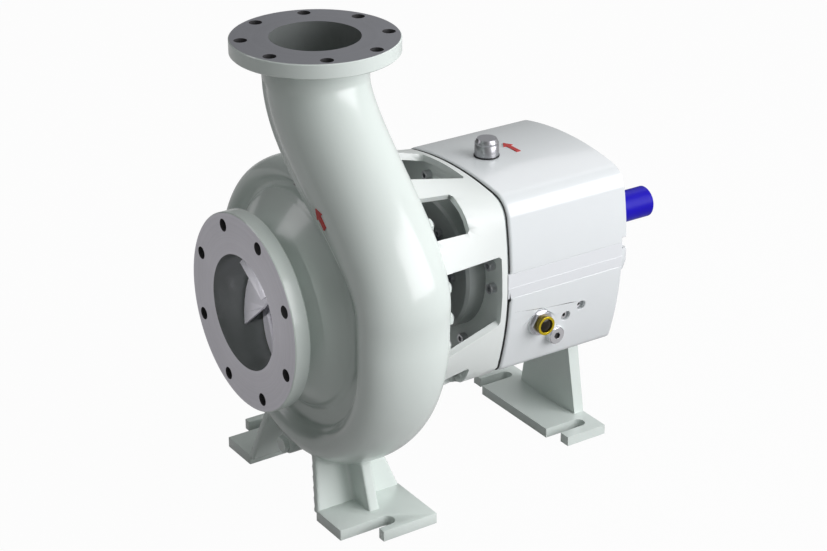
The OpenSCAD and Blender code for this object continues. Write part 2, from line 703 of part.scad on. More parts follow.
// Bearing frame: oil sump below, bearing tube through the middle
sump_wall = 10;
module frame_blank() {
    // Lower body
    along_x(frame_x0) linear_extrude(height = frame_x1 - frame_x0) intersection() {
        lower_outline(0);
        translate([-300, -300]) square([600, 300 - strip_low]);
    }
    // Band behind the side strips
    along_x(lantern_x1) linear_extrude(height = frame_x1 - lantern_x1) difference() {
        union() {
            lower_outline(4.7);
            upper_outline(4.7);
        }
        translate([-300, strip_top]) square([600, 300]);
        translate([-300, -300 - strip_low - 1]) square([600, 300]);
    }
    // Narrow collar in the groove behind the lantern
    along_x(lantern_x1) linear_extrude(height = frame_x0 - lantern_x1 + 2) intersection() {
        union() {
            lower_outline(9);
            upper_outline(9);
        }
        translate([-300, -300]) square([600, 300 + strip_top]);
    }
    // Bearing tube
    round_x(lantern_x1, frame_x1, bearing_bore_r + 14);
    // Ears at the rear end of the band
    for (m = [0, 1]) mirror([0, m, 0]) along_x(frame_x1 - 2) linear_extrude(height = 15)
        polygon([[-166.8, 13], [-166.8, -12], [-160, -30], [-152, -40], [-150, -40], [-140, -10], [-140, 13]]);
    // Pads for the fittings on the near side
    translate([sight_x, -150, -sight_z]) rotate([90, 0, 0]) cylinder(r = 25, h = 17.5, $fn = 64);
    translate([531, -140, -120]) rotate([90, 0, 0]) cylinder(r = 17, h = 23, $fn = 64);
    // Pad for the rear foot
    translate([638, -58, -frame_depth - 3]) cube([36, 116, 20]);
}
module bearing_frame() {
    color(paint) difference() {
        frame_blank();
        // Sump in two bays round the bearing tube
        for (bay = [[440, 528], [542, 650]]) difference() {
            along_x(bay[0]) linear_extrude(height = bay[1] - bay[0]) union() {
                intersection() {
                    lower_outline(sump_wall + 4.7);
                    translate([-300, -300]) square([600, 301]);
                }
                intersection() {
                    upper_outline(sump_wall + 4.7);
                    translate([-300, 0]) square([600, strip_top + 1]);
                }
            }
            round_x(bay[0] - 1, bay[1] + 1, bearing_bore_r + 14);
            translate([552, -128, -88.8]) rotate([90, 0, 0]) cylinder(r = 13, h = 40, $fn = 48);
            translate([583.5, -128, -75.8]) rotate([90, 0, 0]) cylinder(r = 13, h = 40, $fn = 48);
            translate([sight_x, -128, -sight_z]) rotate([90, 0, 0]) cylinder(r = 28, h = 40, $fn = 48);
        }
        // Bearing seats and the bore between them
        round_x(lantern_x1 - 1, 470, bearing_bore_r);
        round_x(470 - 1, 592, 62);
        round_x(592 - 1, frame_x1 + 1, bearing_bore_r);
        // Oil ways from the sump to the bearings
        translate([482, 0, -120]) cylinder(r = 12, h = 60, $fn = 32);
        translate([575, 0, -120]) cylinder(r = 12, h = 60, $fn = 32);
        // Screw holes
        for (a = frame_screw_angles) rotate([a, 0, 0]) translate([0, 0, frame_screw_r])
            round_x(lantern_x1 - 1, lantern_x1 + 17, 6 + fit);
        ring_of(6, 30) translate([0, 0, 80]) round_x(lantern_x1 - 1, lantern_x1 + 15, 4 + fit);
        ring_of(6, 30) translate([0, 0, 77]) round_x(frame_x1 - 15, frame_x1 + 1, 4 + fit);
        // Seats of the fittings
        translate([sight_x, -120, -sight_z]) rotate([90, 0, 0]) cylinder(r = 14 + fit, h = 60, $fn = 48);
        translate([sight_x, -sight_face, -sight_z]) rotate([90, 0, 0]) cylinder(r = 25.2, h = 20, $fn = 64);
        translate([531, -120, -120]) rotate([90, 0, 0]) cylinder(r = 9 + fit, h = 60, $fn = 48);
        for (p = small_plugs) {
            translate([p[0], -151, p[1]]) rotate([90, 0, 0]) cylinder(r = 9, h = 40, $fn = 48);
            translate([p[0], -140, p[1]]) rotate([90, 0, 0]) cylinder(r = 5 + fit, h = 40, $fn = 32);
        }
        for (y = [-40, 40]) translate([656, y, -frame_depth - 4]) cylinder(r = 6 + fit, h = 20, $fn = 32);
        // Screw holes for the hood
        for (x = hood_screw_x, y = [-140, 140]) translate([x, y, strip_top - 16]) cylinder(r = 4 + fit, h = 17, $fn = 32);
    }
}
small_plugs = [[552, -88.8], [583.5, -75.8]];

hood_wall = 7;
hood_screw_x = [452, 656];
module frame_hood() {
    color(paint) difference() {
        union() {
            along_x(frame_x0) linear_extrude(height = hood_x1 - frame_x0) intersection() {
                upper_outline(0);
                translate([-300, strip_top]) square([600, 300]);
            }
            along_x(lantern_x1) linear_extrude(height = 8) intersection() {
                upper_outline(9);
                translate([-300, strip_top]) square([600, 300]);
            }
        }
        difference() {
            along_x(frame_x0 + 6) linear_extrude(height = hood_x1 - frame_x0 - 13) intersection() {
                upper_outline(hood_wall);
                translate([-300, strip_top - 1]) square([600, 300]);
            }
            // Screw bosses inside the hood
            for (x = hood_screw_x, m = [0, 1]) mirror([0, m, 0]) translate([x - 12, 128, strip_top - 2]) cube([24, 47, 34]);
        }
        round_x(lantern_x1 - 1, frame_x1 + 20, bearing_bore_r + 14.2);
        for (a = frame_screw_angles) rotate([a, 0, 0]) translate([0, 0, frame_screw_r])
            round_x(lantern_x1 - 1, lantern_x1 + 30, 6 + fit);
        translate([filler_x, 0, frame_half - 30]) cylinder(r = 14 + fit, h = 40, $fn = 48);
        for (x = hood_screw_x, y = [-140, 140]) translate([x, y, strip_top - 1]) cylinder(r = 4 + fit, h = 20, $fn = 32);
        // Clearance notch above the ear at each lower rear corner
        translate([frame_x1, -200, strip_top - 1]) cube([20, 400, 10]);
        round_x(frame_x1 - 2, hood_x1 + 1, 97);
    }
}

module hood_screws() {
    color(dark_steel) for (x = hood_screw_x, y = [-140, 140]) translate([x, y, strip_top - 14])
        cylinder(r = 4, h = 30, $fn = 32);
}

strip_sink = 0.6;
module strip_plate() {
    along_x(lantern_x1 + 2) linear_extrude(height = frame_x1 - lantern_x1 - 2) intersection() {
        difference() {
            union() {
                lower_outline(strip_sink);
                upper_outline(strip_sink);
            }
            lower_outline(4.7);
            upper_outline(4.7);
        }
        translate([-300, -strip_low]) square([200, strip_top + strip_low]);
    }
}
module side_strip_near() {
    color(paint) strip_plate();
}
module side_strip_far() {
    color(paint) mirror([0, 1, 0]) strip_plate();
}

// Rolling bearings
roller_r = 9;
roller_circle = 51.5;
module roller_bearing_outer() {
    color(steel) turned([[front_face_x, bearing_bore_r - fit], [front_face_x, 60.8], [front_face_x + 33, 60.8],
        [front_face_x + 33, bearing_bore_r - fit]]);
}
module roller_bearing_inner() {
    color(steel) turned([[front_face_x, bearing_seat_r + fit], [front_face_x, 45], [front_face_x + 5, 45],
        [front_face_x + 5, 42.2], [front_face_x + 28, 42.2], [front_face_x + 28, 45], [front_face_x + 33, 45],
        [front_face_x + 33, bearing_seat_r + fit]]);
}
module roller_bearing_cage() {
    color(brass) difference() {
        turned([[front_face_x + 3, 47.5], [front_face_x + 3, 56], [front_face_x + 30, 56], [front_face_x + 30, 47.5]]);
        ring_of(14) translate([0, 0, roller_circle]) round_x(front_face_x + 6.5, front_face_x + 26.5, roller_r + 0.1);
    }
}
module bearing_rollers() {
    color(steel) ring_of(14) translate([0, 0, roller_circle]) round_x(front_face_x + 6.6, front_face_x + 26.4, roller_r);
}

module bearing_spacer() {
    color(steel) turned([[592, 61], [592, bearing_bore_r - fit], [597, bearing_bore_r - fit], [597, 61]]);
}

ball_r = 11;
ball_circle = 51.5;
module ball_outer(x) {
    color(steel) difference() {
        turned([[x, bearing_bore_r - fit], [x, 58], [x + 33, 58], [x + 33, bearing_bore_r - fit]]);
        along_x(x + 16.5) rotate_extrude($fn = 96) translate([ball_circle, 0]) circle(r = ball_r + run, $fn = 48);
    }
}
module ball_inner(x) {
    color(steel) difference() {
        turned([[x, bearing_seat_r + fit], [x, 45], [x + 33, 45], [x + 33, bearing_seat_r + fit]]);
        along_x(x + 16.5) rotate_extrude($fn = 96) translate([ball_circle, 0]) circle(r = ball_r + run, $fn = 48);
    }
}
module ball_cage(x) {
    color(brass) {
        difference() {
            turned([[x + 6, 49], [x + 6, 54], [x + 27, 54], [x + 27, 49]]);
            ring_of(11) translate([x + 16.5, 0, ball_circle]) sphere(r = ball_r - 0.5, $fn = 48);
        }
    }
    color(steel) ring_of(11) translate([x + 16.5, 0, ball_circle]) sphere(r = ball_r, $fn = 48);
}
module ball_bearing_outer_a() {
    ball_outer(597);
}
module ball_bearing_inner_a() {
    ball_inner(597);
}
module ball_bearing_cage_a() {
    ball_cage(597);
}
module ball_bearing_outer_b() {
    ball_outer(630);
}
module ball_bearing_inner_b() {
    ball_inner(630);
}
module ball_bearing_cage_b() {
    ball_cage(630);
}

module lock_washer() {
    color(steel) turned([[663, lock_thread_r + fit], [663, 46], [665, 46], [665, lock_thread_r + fit]]);
}
module lock_nut() {
    color(dark_steel) difference() {
        turned([[665, lock_thread_r + fit], [665, 46], [678, 46], [678, lock_thread_r + fit]]);
        ring_of(4) translate([664, -4, 42]) cube([15, 8, 6]);
    }
}

rear_cover_x1 = 684;
module rear_bearing_cover() {
    color(paint) difference() {
        turned([[663, bearing_bore_r - fit], [frame_x1, bearing_bore_r - fit], [frame_x1, 92], [rear_cover_x1 - 3, 92],
            [rear_cover_x1, 89], [rear_cover_x1, 56], [694, 52], [694, 33], [rear_cover_x1, 33], [rear_cover_x1 - 3, 33],
            [rear_cover_x1 - 3, 50], [663, 50]]);
        ring_of(6, 30) translate([0, 0, 77]) round_x(frame_x1 - 5, rear_cover_x1 + 1, 4 + fit);
        round_x(rear_cover_x1, 695, 42 + fit);
    }
}
module rear_cover_screws() {
    color(dark_steel) ring_of(6, 30) translate([0, 0, 77]) cap_screw_rear(rear_cover_x1, frame_x1 - 12, 4, 6.5, 8);
}
module rear_lip_seal() {
    color(rubber) turned([[rear_cover_x1, 30 + run], [rear_cover_x1, 42], [694, 42], [694, 30 + run]]);
}

// Rear support foot
leg_x0 = 645;
leg_x1 = 667;
rear_slot_run = 63.5;
module rear_foot() {
    sole = -shaft_height;
    color(paint) difference() {
        union() {
            translate([rear_foot_x0, -rear_slot_y + rear_slot_w / 2, sole])
                cube([rear_foot_x1 - rear_foot_x0, 2 * rear_slot_y - rear_slot_w, rear_foot_thick]);
            translate([rear_foot_x0 + 14, -rear_foot_half, sole])
                cube([rear_foot_x1 - rear_foot_x0 - 14, 2 * rear_foot_half, rear_foot_thick]);
            // Upright web, bowed a little towards the pump
            translate([0, 0, 0]) intersection() {
                translate([0, 0, sole + rear_foot_thick - 4]) linear_extrude(height = 200)
                    polygon([[leg_x0, -90], [leg_x0 - 4, -40], [leg_x0 - 5.5, 0], [leg_x0 - 4, 40], [leg_x0, 90],
                        [leg_x1 - 2, 90], [leg_x1 - 2, -90]]);
                along_x(600) linear_extrude(height = 100) polygon([[-84, sole + rear_foot_thick - 4],
                    [84, sole + rear_foot_thick - 4], [52, -frame_depth - 3], [-52, -frame_depth - 3]]);
            }
            // Head plate under the frame
            translate([638, -52, -frame_depth - 15]) cube([36, 104, 12]);
        }
        for (s = [-1, 1]) {
            translate([rear_foot_x0 - 1, s * rear_slot_y - rear_slot_w / 2, sole - 1])
                cube([rear_slot_run + 1, rear_slot_w, rear_foot_thick + 2]);
            translate([rear_foot_x0 + rear_slot_run, s * rear_slot_y, sole - 1])
                cylinder(d = rear_slot_w, h = rear_foot_thick + 2, $fn = 48);
        }
        for (y = [-40, 40]) translate([656, y, -frame_depth - 16]) cylinder(r = 6.5, h = 20, $fn = 32);
    }
}
module rear_foot_screws() {
    color(dark_steel) for (y = [-40, 40]) translate([656, y, 0]) {
        translate([0, 0, -frame_depth - 15]) cylinder(r = 6, h = 26, $fn = 32);
    }
}

// Filler on the roof of the hood
roof_z = frame_half;
module filler_seat() {
    color(rubber) difference() {
        translate([filler_x, 0, roof_z]) cylinder(r = filler_r + 1.4, h = 2.5, $fn = 64);
        translate([filler_x, 0, roof_z - 1]) cylinder(r = 14 + fit, h = 5, $fn = 64);
    }
}
module filler_cap() {
    z0 = roof_z + 2.5;
    color(steel) translate([filler_x, 0, 0]) {
        rotate_extrude($fn = 64) polygon([[0, z0 - 14], [13.6, z0 - 14], [13.6, z0], [filler_r, z0], [filler_r, z0 + 19],
            [filler_r - 0.8, z0 + 20], [filler_r - 0.8, z0 + 22], [filler_r - 0.1, z0 + 23], [filler_r - 4, z0 + 30],
            [0, z0 + 30]]);
    }
}

// Sight glass on the near side of the sump
module near_side(x, y, z) {
    translate([x, -y, z]) rotate([90, 0, 0]) children();
}
sight_face = 167.5;
module sight_glass_nut() {
    color(steel) near_side(sight_x, sight_face, -sight_z) difference() {
        union() {
            cylinder(r = 23.5, h = 2, $fn = 64);
            cylinder(r = 22.6, h = 8, $fn = 6);
            translate([0, 0, -16]) cylinder(r = 14, h = 17, $fn = 64);
        }
        translate([0, 0, -17]) cylinder(r = 11, h = 30, $fn = 48);
    }
}
module sight_glass_bezel() {
    color(brass) near_side(sight_x, sight_face + 8, -sight_z) difference() {
        cylinder(r = 17.5, h = 10, $fn = 64);
        translate([0, 0, -1]) cylinder(r = 12.5, h = 12, $fn = 64);
    }
}
module sight_glass_lens() {
    color([0.12, 0.08, 0.02]) near_side(sight_x, sight_face + 8, -sight_z) {
        cylinder(r = 12.5 - fit, h = 7, $fn = 64);
        translate([0, 0, 7]) intersection() {
            translate([0, 0, -25]) sphere(r = 28, $fn = 96);
            cylinder(r = 12.3, h = 5, $fn = 64);
        }
    }
}
module oil_drain_plug() {
    color(steel) near_side(531, 163, -120) difference() {
        union() {
            translate([0, 0, -14]) cylinder(r = 9, h = 15, $fn = 48);
            cylinder(r = 16, h = 4, $fn = 64);
            cylinder(r = 14.5, h = 5.5, $fn = 64);
        }
        translate([0, 0, 0.5]) cylinder(r = 6.4, h = 6, $fn = 6);
    }
}
module frame_plugs() {
    color(steel) for (p = small_plugs) near_side(p[0], 151, p[1]) difference() {
        union() {
            translate([0, 0, -9]) cylinder(r = 5, h = 10, $fn = 32);
            cylinder(r = 7.2, h = 7, $fn = 48);
        }
        translate([0, 0, 2]) cylinder(r = 3.4, h = 6, $fn = 6);
    }
}

module casing_drain_plug() {
    color(dark_steel) translate([0, drain_y, -drain_z]) {
        along_x(drain_x - 9) cylinder(r = 15, h = 9, $fn = 6);
        round_x(drain_x - 1, drain_x + 14, 10 - fit);
    }
}

// Flat arrow, pointing along +Y in its own plane
module arrow_plate(length, thick) {
    linear_extrude(height = thick) polygon([[-4.5, 0], [4.5, 0], [4.5, length - 16], [10, length - 16], [0, length],
        [-10, length - 16], [-4.5, length - 16]]);
}
module roof_arrow() {
    color(arrow_red) translate([551, -16, roof_z - 1.1]) arrow_plate(47, 2.1);
}
module volute_arrow() {
    color(arrow_red) translate([suction_reach - 85, -164, 196]) rotate([42.8, 0, 0]) rotate([0, -90, 0])
        arrow_plate(38, 3);
}

volute_casing();
front_wear_plate();
impeller();
impeller_key();
impeller_nut();
casing_cover();
casing_gasket();
casing_studs();
casing_nuts();
shaft();
shaft_sleeve();
seal_rotor();
seal_seat();
seal_gland();
gland_studs();
gland_nuts();
slinger();
lantern();
lantern_screws();
front_bearing_cover();
front_cover_screws();
front_lip_seal();
bearing_frame();
frame_hood();
hood_screws();
side_strip_near();
side_strip_far();
roller_bearing_outer();
roller_bearing_inner();
roller_bearing_cage();
bearing_rollers();
bearing_spacer();
ball_bearing_outer_a();
ball_bearing_inner_a();
ball_bearing_cage_a();
ball_bearing_outer_b();
ball_bearing_inner_b();
ball_bearing_cage_b();
lock_washer();
lock_nut();
rear_bearing_cover();
rear_cover_screws();
rear_lip_seal();
rear_foot();
rear_foot_screws();
filler_seat();
filler_cap();
sight_glass_nut();
sight_glass_bezel();
sight_glass_lens();
oil_drain_plug();
frame_plugs();
casing_drain_plug();
roof_arrow();
volute_arrow();
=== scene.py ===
"""Looks of the horizontal end-suction process pump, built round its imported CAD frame."""

import json
import logging
import math
from dataclasses import dataclass, field
from enum import Enum
from typing import Any, Callable, Iterable, Optional, Sequence

import bmesh
import bpy
from mathutils import Matrix, Vector

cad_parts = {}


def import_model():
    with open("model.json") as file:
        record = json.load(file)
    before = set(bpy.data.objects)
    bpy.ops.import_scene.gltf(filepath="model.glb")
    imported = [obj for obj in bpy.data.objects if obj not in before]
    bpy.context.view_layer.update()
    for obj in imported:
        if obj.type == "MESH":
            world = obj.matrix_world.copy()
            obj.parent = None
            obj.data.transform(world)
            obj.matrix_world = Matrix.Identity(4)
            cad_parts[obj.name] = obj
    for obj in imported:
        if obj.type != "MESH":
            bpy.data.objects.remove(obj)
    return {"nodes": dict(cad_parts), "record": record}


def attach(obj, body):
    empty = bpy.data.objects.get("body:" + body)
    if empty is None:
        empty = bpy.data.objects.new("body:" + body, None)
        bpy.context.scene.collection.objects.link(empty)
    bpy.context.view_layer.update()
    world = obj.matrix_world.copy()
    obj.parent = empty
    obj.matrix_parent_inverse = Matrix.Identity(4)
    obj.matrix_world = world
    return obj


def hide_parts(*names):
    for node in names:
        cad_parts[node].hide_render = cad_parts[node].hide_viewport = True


MM = 0.001
LOG = logging.getLogger("pump")
Point = tuple[float, float, float]
MERGE_DISTANCE = 2e-6
FLAT_ANGLE = 0.7
SHARP_ANGLE = 32.0
CORE_R = 0.01


class Expr:
    """A number or vector inside a node tree, written as arithmetic."""

    def __init__(self, tree: Any, socket: Any) -> None:
        """Keeps the tree and the output socket."""
        self.tree = tree
        self.socket = socket

    def math(self, operation: str, *others: Any, first: Any = None) -> "Expr":
        """Adds one Math node.

        Args:
            operation: the Math node's operation.
            others: the values or sockets after the first.
            first: the first value, where it isn't this one.
        Returns:
            The node's result.
        """
        node = self.tree.nodes.new("ShaderNodeMath")
        node.operation = operation
        for slot, value in enumerate([self if first is None else first, *others]):
            if isinstance(value, Expr):
                self.tree.links.new(value.socket, node.inputs[slot])
            else:
                node.inputs[slot].default_value = float(value)
        return Expr(self.tree, node.outputs[0])

    def __add__(self, other: Any) -> "Expr":
        """Sum."""
        return self.math("ADD", other)

    __radd__ = __add__

    def __sub__(self, other: Any) -> "Expr":
        """Difference."""
        return self.math("SUBTRACT", other)

    def __rsub__(self, other: Any) -> "Expr":
        """Difference from a plain number."""
        return self.math("SUBTRACT", self, first=other)

    def __mul__(self, other: Any) -> "Expr":
        """Product."""
        return self.math("MULTIPLY", other)

    __rmul__ = __mul__

    def __truediv__(self, other: Any) -> "Expr":
        """Quotient."""
        return self.math("DIVIDE", other)

    def __pow__(self, other: Any) -> "Expr":
        """Power."""
        return self.math("POWER", other)

    def sin(self) -> "Expr":
        """Sine of an angle in degrees."""
        return (self * (math.pi / 180)).math("SINE")

    def cos(self) -> "Expr":
        """Cosine of an angle in degrees."""
        return (self * (math.pi / 180)).math("COSINE")

    def over(self, other: Any) -> "Expr":
        """1 where this is above the other, else 0."""
        return self.math("GREATER_THAN", other)

    def clamp(self, low: float, high: float) -> "Expr":
        """This value kept between two limits."""
        return self.math("MAXIMUM", low).math("MINIMUM", high)

    def towards(self, other: Any, share: Any) -> "Expr":
        """Straight blend from this value to the other."""
        return self + (other - self) * share

    def eased(self) -> "Expr":
        """Blend share with level ends."""
        return self * self * (3 - 2 * self)


class Tree:
    """A node tree that is filled through one method for any node."""

    def __init__(self, tree: Any) -> None:
        """Keeps the tree."""
        self.tree = tree

    def add(self, kind: str, settings: Optional[dict] = None, sockets: Optional[dict] = None) -> Any:
        """Adds a node.

        Args:
            kind: the node's type.
            settings: properties set before its sockets; "stops" gives a ramp's stops.
            sockets: input name or number to a value, a socket or an Expr.
        Returns:
            The new node.
        """
        node = self.tree.nodes.new(kind)
        for name, value in (settings or {}).items():
            if name == "stops":
                ramp = node.color_ramp
                while len(ramp.elements) < len(value):
                    ramp.elements.new(0.5)
                for element, (place, colour) in zip(ramp.elements, value):
                    element.position = place
                    element.color = (*colour, 1)
            else:
                setattr(node, name, value)
        for name, value in (sockets or {}).items():
            self.feed(node, name, value)
        return node

    def feed(self, node: Any, name: Any, value: Any) -> None:
        """Sets or links one input of a node."""
        socket = node.inputs[name]
        if isinstance(value, Expr):
            self.tree.links.new(value.socket, socket)
        elif isinstance(value, bpy.types.NodeSocket):
            self.tree.links.new(value, socket)
        else:
            socket.default_value = value

    def value(self, node: Any, output: Any = 0) -> Expr:
        """One output of a node, for arithmetic."""
        return Expr(self.tree, node.outputs[output])

    def noise(self, place: Any, scale: float, detail: float = 2.0, rough: float = 0.5) -> Expr:
        """Noise from 0 to 1 at a place."""
        return self.value(self.add("ShaderNodeTexNoise", None,
                                   {"Vector": place, "Scale": scale, "Detail": detail, "Roughness": rough}))


class Sheen(Enum):
    """How a finish reflects."""

    SATIN = 0.34
    DULL = 0.6


@dataclass(frozen=True)
class Finish:
    """A surface finish: paint, bare metal or rubber, with its own grain."""

    name: str
    colour: tuple[float, float, float]
    sheen: float = Sheen.SATIN.value
    metallic: float = 0.0
    coat: float = 0.0
    mottle: float = 0.03
    mottle_scale: float = 14.0
    grain: float = 0.0
    grain_scale: float = 320.0
    rough_spread: float = 0.05
    specular: float = 0.5

    def surface(self, tree: Tree, place: Any, shader: Any) -> Optional[Expr]:
        """Colours the shader and gives the height for its bump, if any.

        Args:
            tree: the material's node tree.
            place: the Object coordinate socket.
            shader: the Principled node.
        Returns:
            The height, or None for a plain surface.
        """
        cloud = tree.noise(place, self.mottle_scale, 4.0, 0.6)
        dark = tuple(c * (1 - self.mottle * 2) for c in self.colour)
        light = tuple(min(1.0, c * (1 + self.mottle * 2)) for c in self.colour)
        tint = tree.add("ShaderNodeMix", {"data_type": "RGBA"}, {0: cloud, 6: (*dark, 1), 7: (*light, 1)})
        tree.feed(shader, "Base Color", tint.outputs[2])
        smear = tree.noise(place, self.mottle_scale * 3.1, 3.0, 0.6)
        tree.feed(shader, "Roughness", self.sheen + (smear - 0.5) * (2 * self.rough_spread))
        return tree.noise(place, self.grain_scale, 2.0, 0.5) if self.grain else None

    def build(self) -> bpy.types.Material:
        """Makes the material, once."""
        found = bpy.data.materials.get(self.name)
        if found:
            return found
        material = bpy.data.materials.new(self.name)
        material.use_nodes = True
        tree = Tree(material.node_tree)
        shader = material.node_tree.nodes["Principled BSDF"]
        place = tree.add("ShaderNodeTexCoord").outputs["Object"]
        shader.inputs["Metallic"].default_value = self.metallic
        shader.inputs["Coat Weight"].default_value = self.coat
        shader.inputs["Coat Roughness"].default_value = 0.08
        shader.inputs["Specular IOR Level"].default_value = self.specular
        height = self.surface(tree, place, shader)
        if height is not None:
            bump = tree.add("ShaderNodeBump", None, {"Strength": 1.0, "Distance": self.grain * MM, "Height": height})
            tree.feed(shader, "Normal", bump.outputs[0])
        return material


@dataclass(frozen=True)
class TurnedFace(Finish):
    """A face cut on a lathe, with fine rings round an axis."""

    centre: Point = (0.0, 0.0, 0.0)
    axis: str = "X"
    pitch: float = 1.4

    def surface(self, tree: Tree, place: Any, shader: Any) -> Optional[Expr]:
        """Adds fine rings to the plain finish."""
        part = tree.add("ShaderNodeSeparateXYZ", None, {0: place})
        names = [a for a in "XYZ" if a != self.axis]
        offsets = [tree.value(part, a) - self.centre["XYZ".index(a)] for a in names]
        radius = (offsets[0] * offsets[0] + offsets[1] * offsets[1]) ** 0.5
        ring_place = tree.add("ShaderNodeCombineXYZ", None, {0: radius * (1000 / self.pitch)}).outputs[0]
        rings = tree.noise(ring_place, 1.0, 3.0, 0.7)
        broad_place = tree.add("ShaderNodeCombineXYZ", None, {0: radius * 110.0}).outputs[0]
        broad = tree.noise(broad_place, 1.0, 2.0, 0.5)
        cloud = tree.noise(place, self.mottle_scale, 3.0, 0.6)
        blend = (rings * 0.45 + broad * 0.35 + cloud * 0.2).clamp(0, 1)
        dark = tuple(c * (1 - self.mottle * 3) for c in self.colour)
        light = tuple(min(1.0, c * (1 + self.mottle * 3)) for c in self.colour)
        tint = tree.add("ShaderNodeMix", {"data_type": "RGBA"}, {0: blend, 6: (*dark, 1), 7: (*light, 1)})
        tree.feed(shader, "Base Color", tint.outputs[2])
        tree.feed(shader, "Roughness", self.sheen + (rings - 0.5) * (2 * self.rough_spread))
        return rings


CAST_PAINT = Finish("pale_cast_paint", (0.69, 0.765, 0.725), 0.24, coat=0.3, mottle=0.012, grain=0.05, grain_scale=160)
SMOOTH_PAINT = Finish("pale_smooth_paint", (0.735, 0.78, 0.785), 0.2, coat=0.3, mottle=0.008, grain=0.02,
                      grain_scale=240)
# Near black painted shade inside drilled holes and the sunk sockets of plugs.
HOLE_SHADE = Finish("drilled_hole", (0.05, 0.05, 0.052), 0.5, mottle=0.05)
LANTERN_PAINT = Finish("lantern_paint", (0.715, 0.765, 0.74), 0.42, coat=0.05, mottle=0.012, grain=0.05,
                       grain_scale=160)
# Near black painted shade in the groove between the lantern and the frame.
GROOVE_SHADE = Finish("joint_shadow_paint", (0.045, 0.048, 0.047), 0.55, mottle=0.05)
STRIP_PAINT = Finish("ribbon_paint", (0.735, 0.77, 0.785), 0.2, coat=0.3, mottle=0.006, grain=0.01, grain_scale=260)
# Dark painted shade for the wetted passages and bores inside the casting.
BORE_SHADE_PAINT = Finish("inner_primer", (0.15, 0.165, 0.16), 0.3, coat=0.3, mottle=0.05, grain=0.06, grain_scale=120)
COVER_PAINT = Finish("bearing_cover_paint", (0.30, 0.33, 0.32), 0.3, coat=0.2, mottle=0.03, grain=0.05)
CAST_IRON = Finish("bare_cast_iron", (0.30, 0.30, 0.31), 0.5, metallic=0.6, mottle=0.06, grain=0.15, grain_scale=90)
IMPELLER_IRON = Finish("satin_impeller_iron", (0.84, 0.83, 0.89), 0.38, metallic=0.2, mottle=0.05, grain=0.08)
STEEL = Finish("machined_steel", (0.60, 0.60, 0.62), 0.3, metallic=1.0, mottle=0.02, grain=0.02)
DARK_STEEL = Finish("dark_steel", (0.22, 0.225, 0.235), 0.36, metallic=0.9, mottle=0.05, grain=0.03)
BRIGHT = Finish("bright_plating", (0.74, 0.74, 0.76), 0.14, metallic=1.0, mottle=0.01, rough_spread=0.03)
SHAFT_BLUE = Finish("blue_shaft_lacquer", (0.010, 0.004, 0.42), 0.34, mottle=0.03, specular=0.14)
CAP_STEEL = Finish("brushed_cap_steel", (0.38, 0.385, 0.40), 0.3, metallic=1.0, mottle=0.03, grain=0.02)
BRASS = Finish("lacquered_brass", (0.62, 0.47, 0.02), 0.22, metallic=0.75, mottle=0.04)
# Painted shade: a dark brass for the bezel faces that turn away from the front.
BEZEL_DARK = Finish("shaded_brass", (0.16, 0.12, 0.012), 0.25, metallic=0.6, mottle=0.05)
RUBBER = Finish("black_rubber", (0.02, 0.02, 0.022), Sheen.DULL.value, mottle=0.1, grain=0.03)
GASKET = Finish("gasket_board", (0.05, 0.05, 0.055), 0.7, mottle=0.1)
GLASS = Finish("sight_lens", (0.012, 0.008, 0.003), 0.12, mottle=0.02, rough_spread=0.0, specular=0.3)
ARROW_RED = Finish("arrow_red", (0.50, 0.02, 0.016), 0.4, coat=0.1, mottle=0.05)
SUCTION_FACE = TurnedFace("turned_suction_face", (0.60, 0.59, 0.635), 0.32, metallic=0.85, mottle=0.1, grain=0.2,
                          centre=(0, 0, 0), axis="X", pitch=3.0)
DISCHARGE_FACE = TurnedFace("turned_discharge_face", (0.29, 0.30, 0.325), 0.4, metallic=0.55, mottle=0.08, grain=0.1,
                            centre=(0.15, 0, 0), axis="Z", pitch=3.0)
SLOT_FINISH: dict[str, Finish] = {
    "casting_paint": CAST_PAINT, "frame_paint": SMOOTH_PAINT, "strip_paint": STRIP_PAINT, "cover_paint": COVER_PAINT,
    "arrow_paint": ARROW_RED, "painted_steel": CAST_PAINT, "shaft_coating": SHAFT_BLUE, "cast_iron": CAST_IRON,
    "impeller_iron": IMPELLER_IRON, "steel": STEEL, "dark_steel": DARK_STEEL, "bright_steel": BRIGHT, "brass": BRASS,
    "rubber": RUBBER, "gasket": GASKET, "glass": GLASS}


def new_object(name: str, vertices: Iterable, faces: Iterable) -> bpy.types.Object:
    """Makes a mesh object at the origin from points in millimetres."""
    mesh = bpy.data.meshes.new(name)
    mesh.from_pydata([tuple(c * MM for c in v) for v in vertices], [], [list(f) for f in faces])
    mesh.update()
    made = bpy.data.objects.new(name, mesh)
    bpy.context.scene.collection.objects.link(made)
    return made


def tidy_normals(made: bpy.types.Object, merge: float = MERGE_DISTANCE) -> None:
    """Merges doubles, closes open loops and turns every face outwards."""
    work = bmesh.new()
    work.from_mesh(made.data)
    bmesh.ops.remove_doubles(work, verts=work.verts, dist=merge)
    bmesh.ops.holes_fill(work, edges=[e for e in work.edges if e.is_boundary])
    bmesh.ops.recalc_face_normals(work, faces=work.faces)
    work.to_mesh(made.data)
    work.free()


def settle(made: bpy.types.Object) -> bpy.types.Object:
    """Applies every modifier on a piece and removes them."""
    graph = bpy.context.evaluated_depsgraph_get()
    graph.update()
    mesh = bpy.data.meshes.new_from_object(made.evaluated_get(graph))
    made.modifiers.clear()
    old = made.data
    made.data = mesh
    bpy.data.meshes.remove(old)
    mesh.name = made.name
    return made


def soften(made: bpy.types.Object, angle: float = 38.0) -> None:
    """Shades a piece smooth, with sharp edges above an angle in degrees."""
    for polygon in made.data.polygons:
        polygon.use_smooth = True
    made.data.set_sharp_from_angle(angle=math.radians(angle))


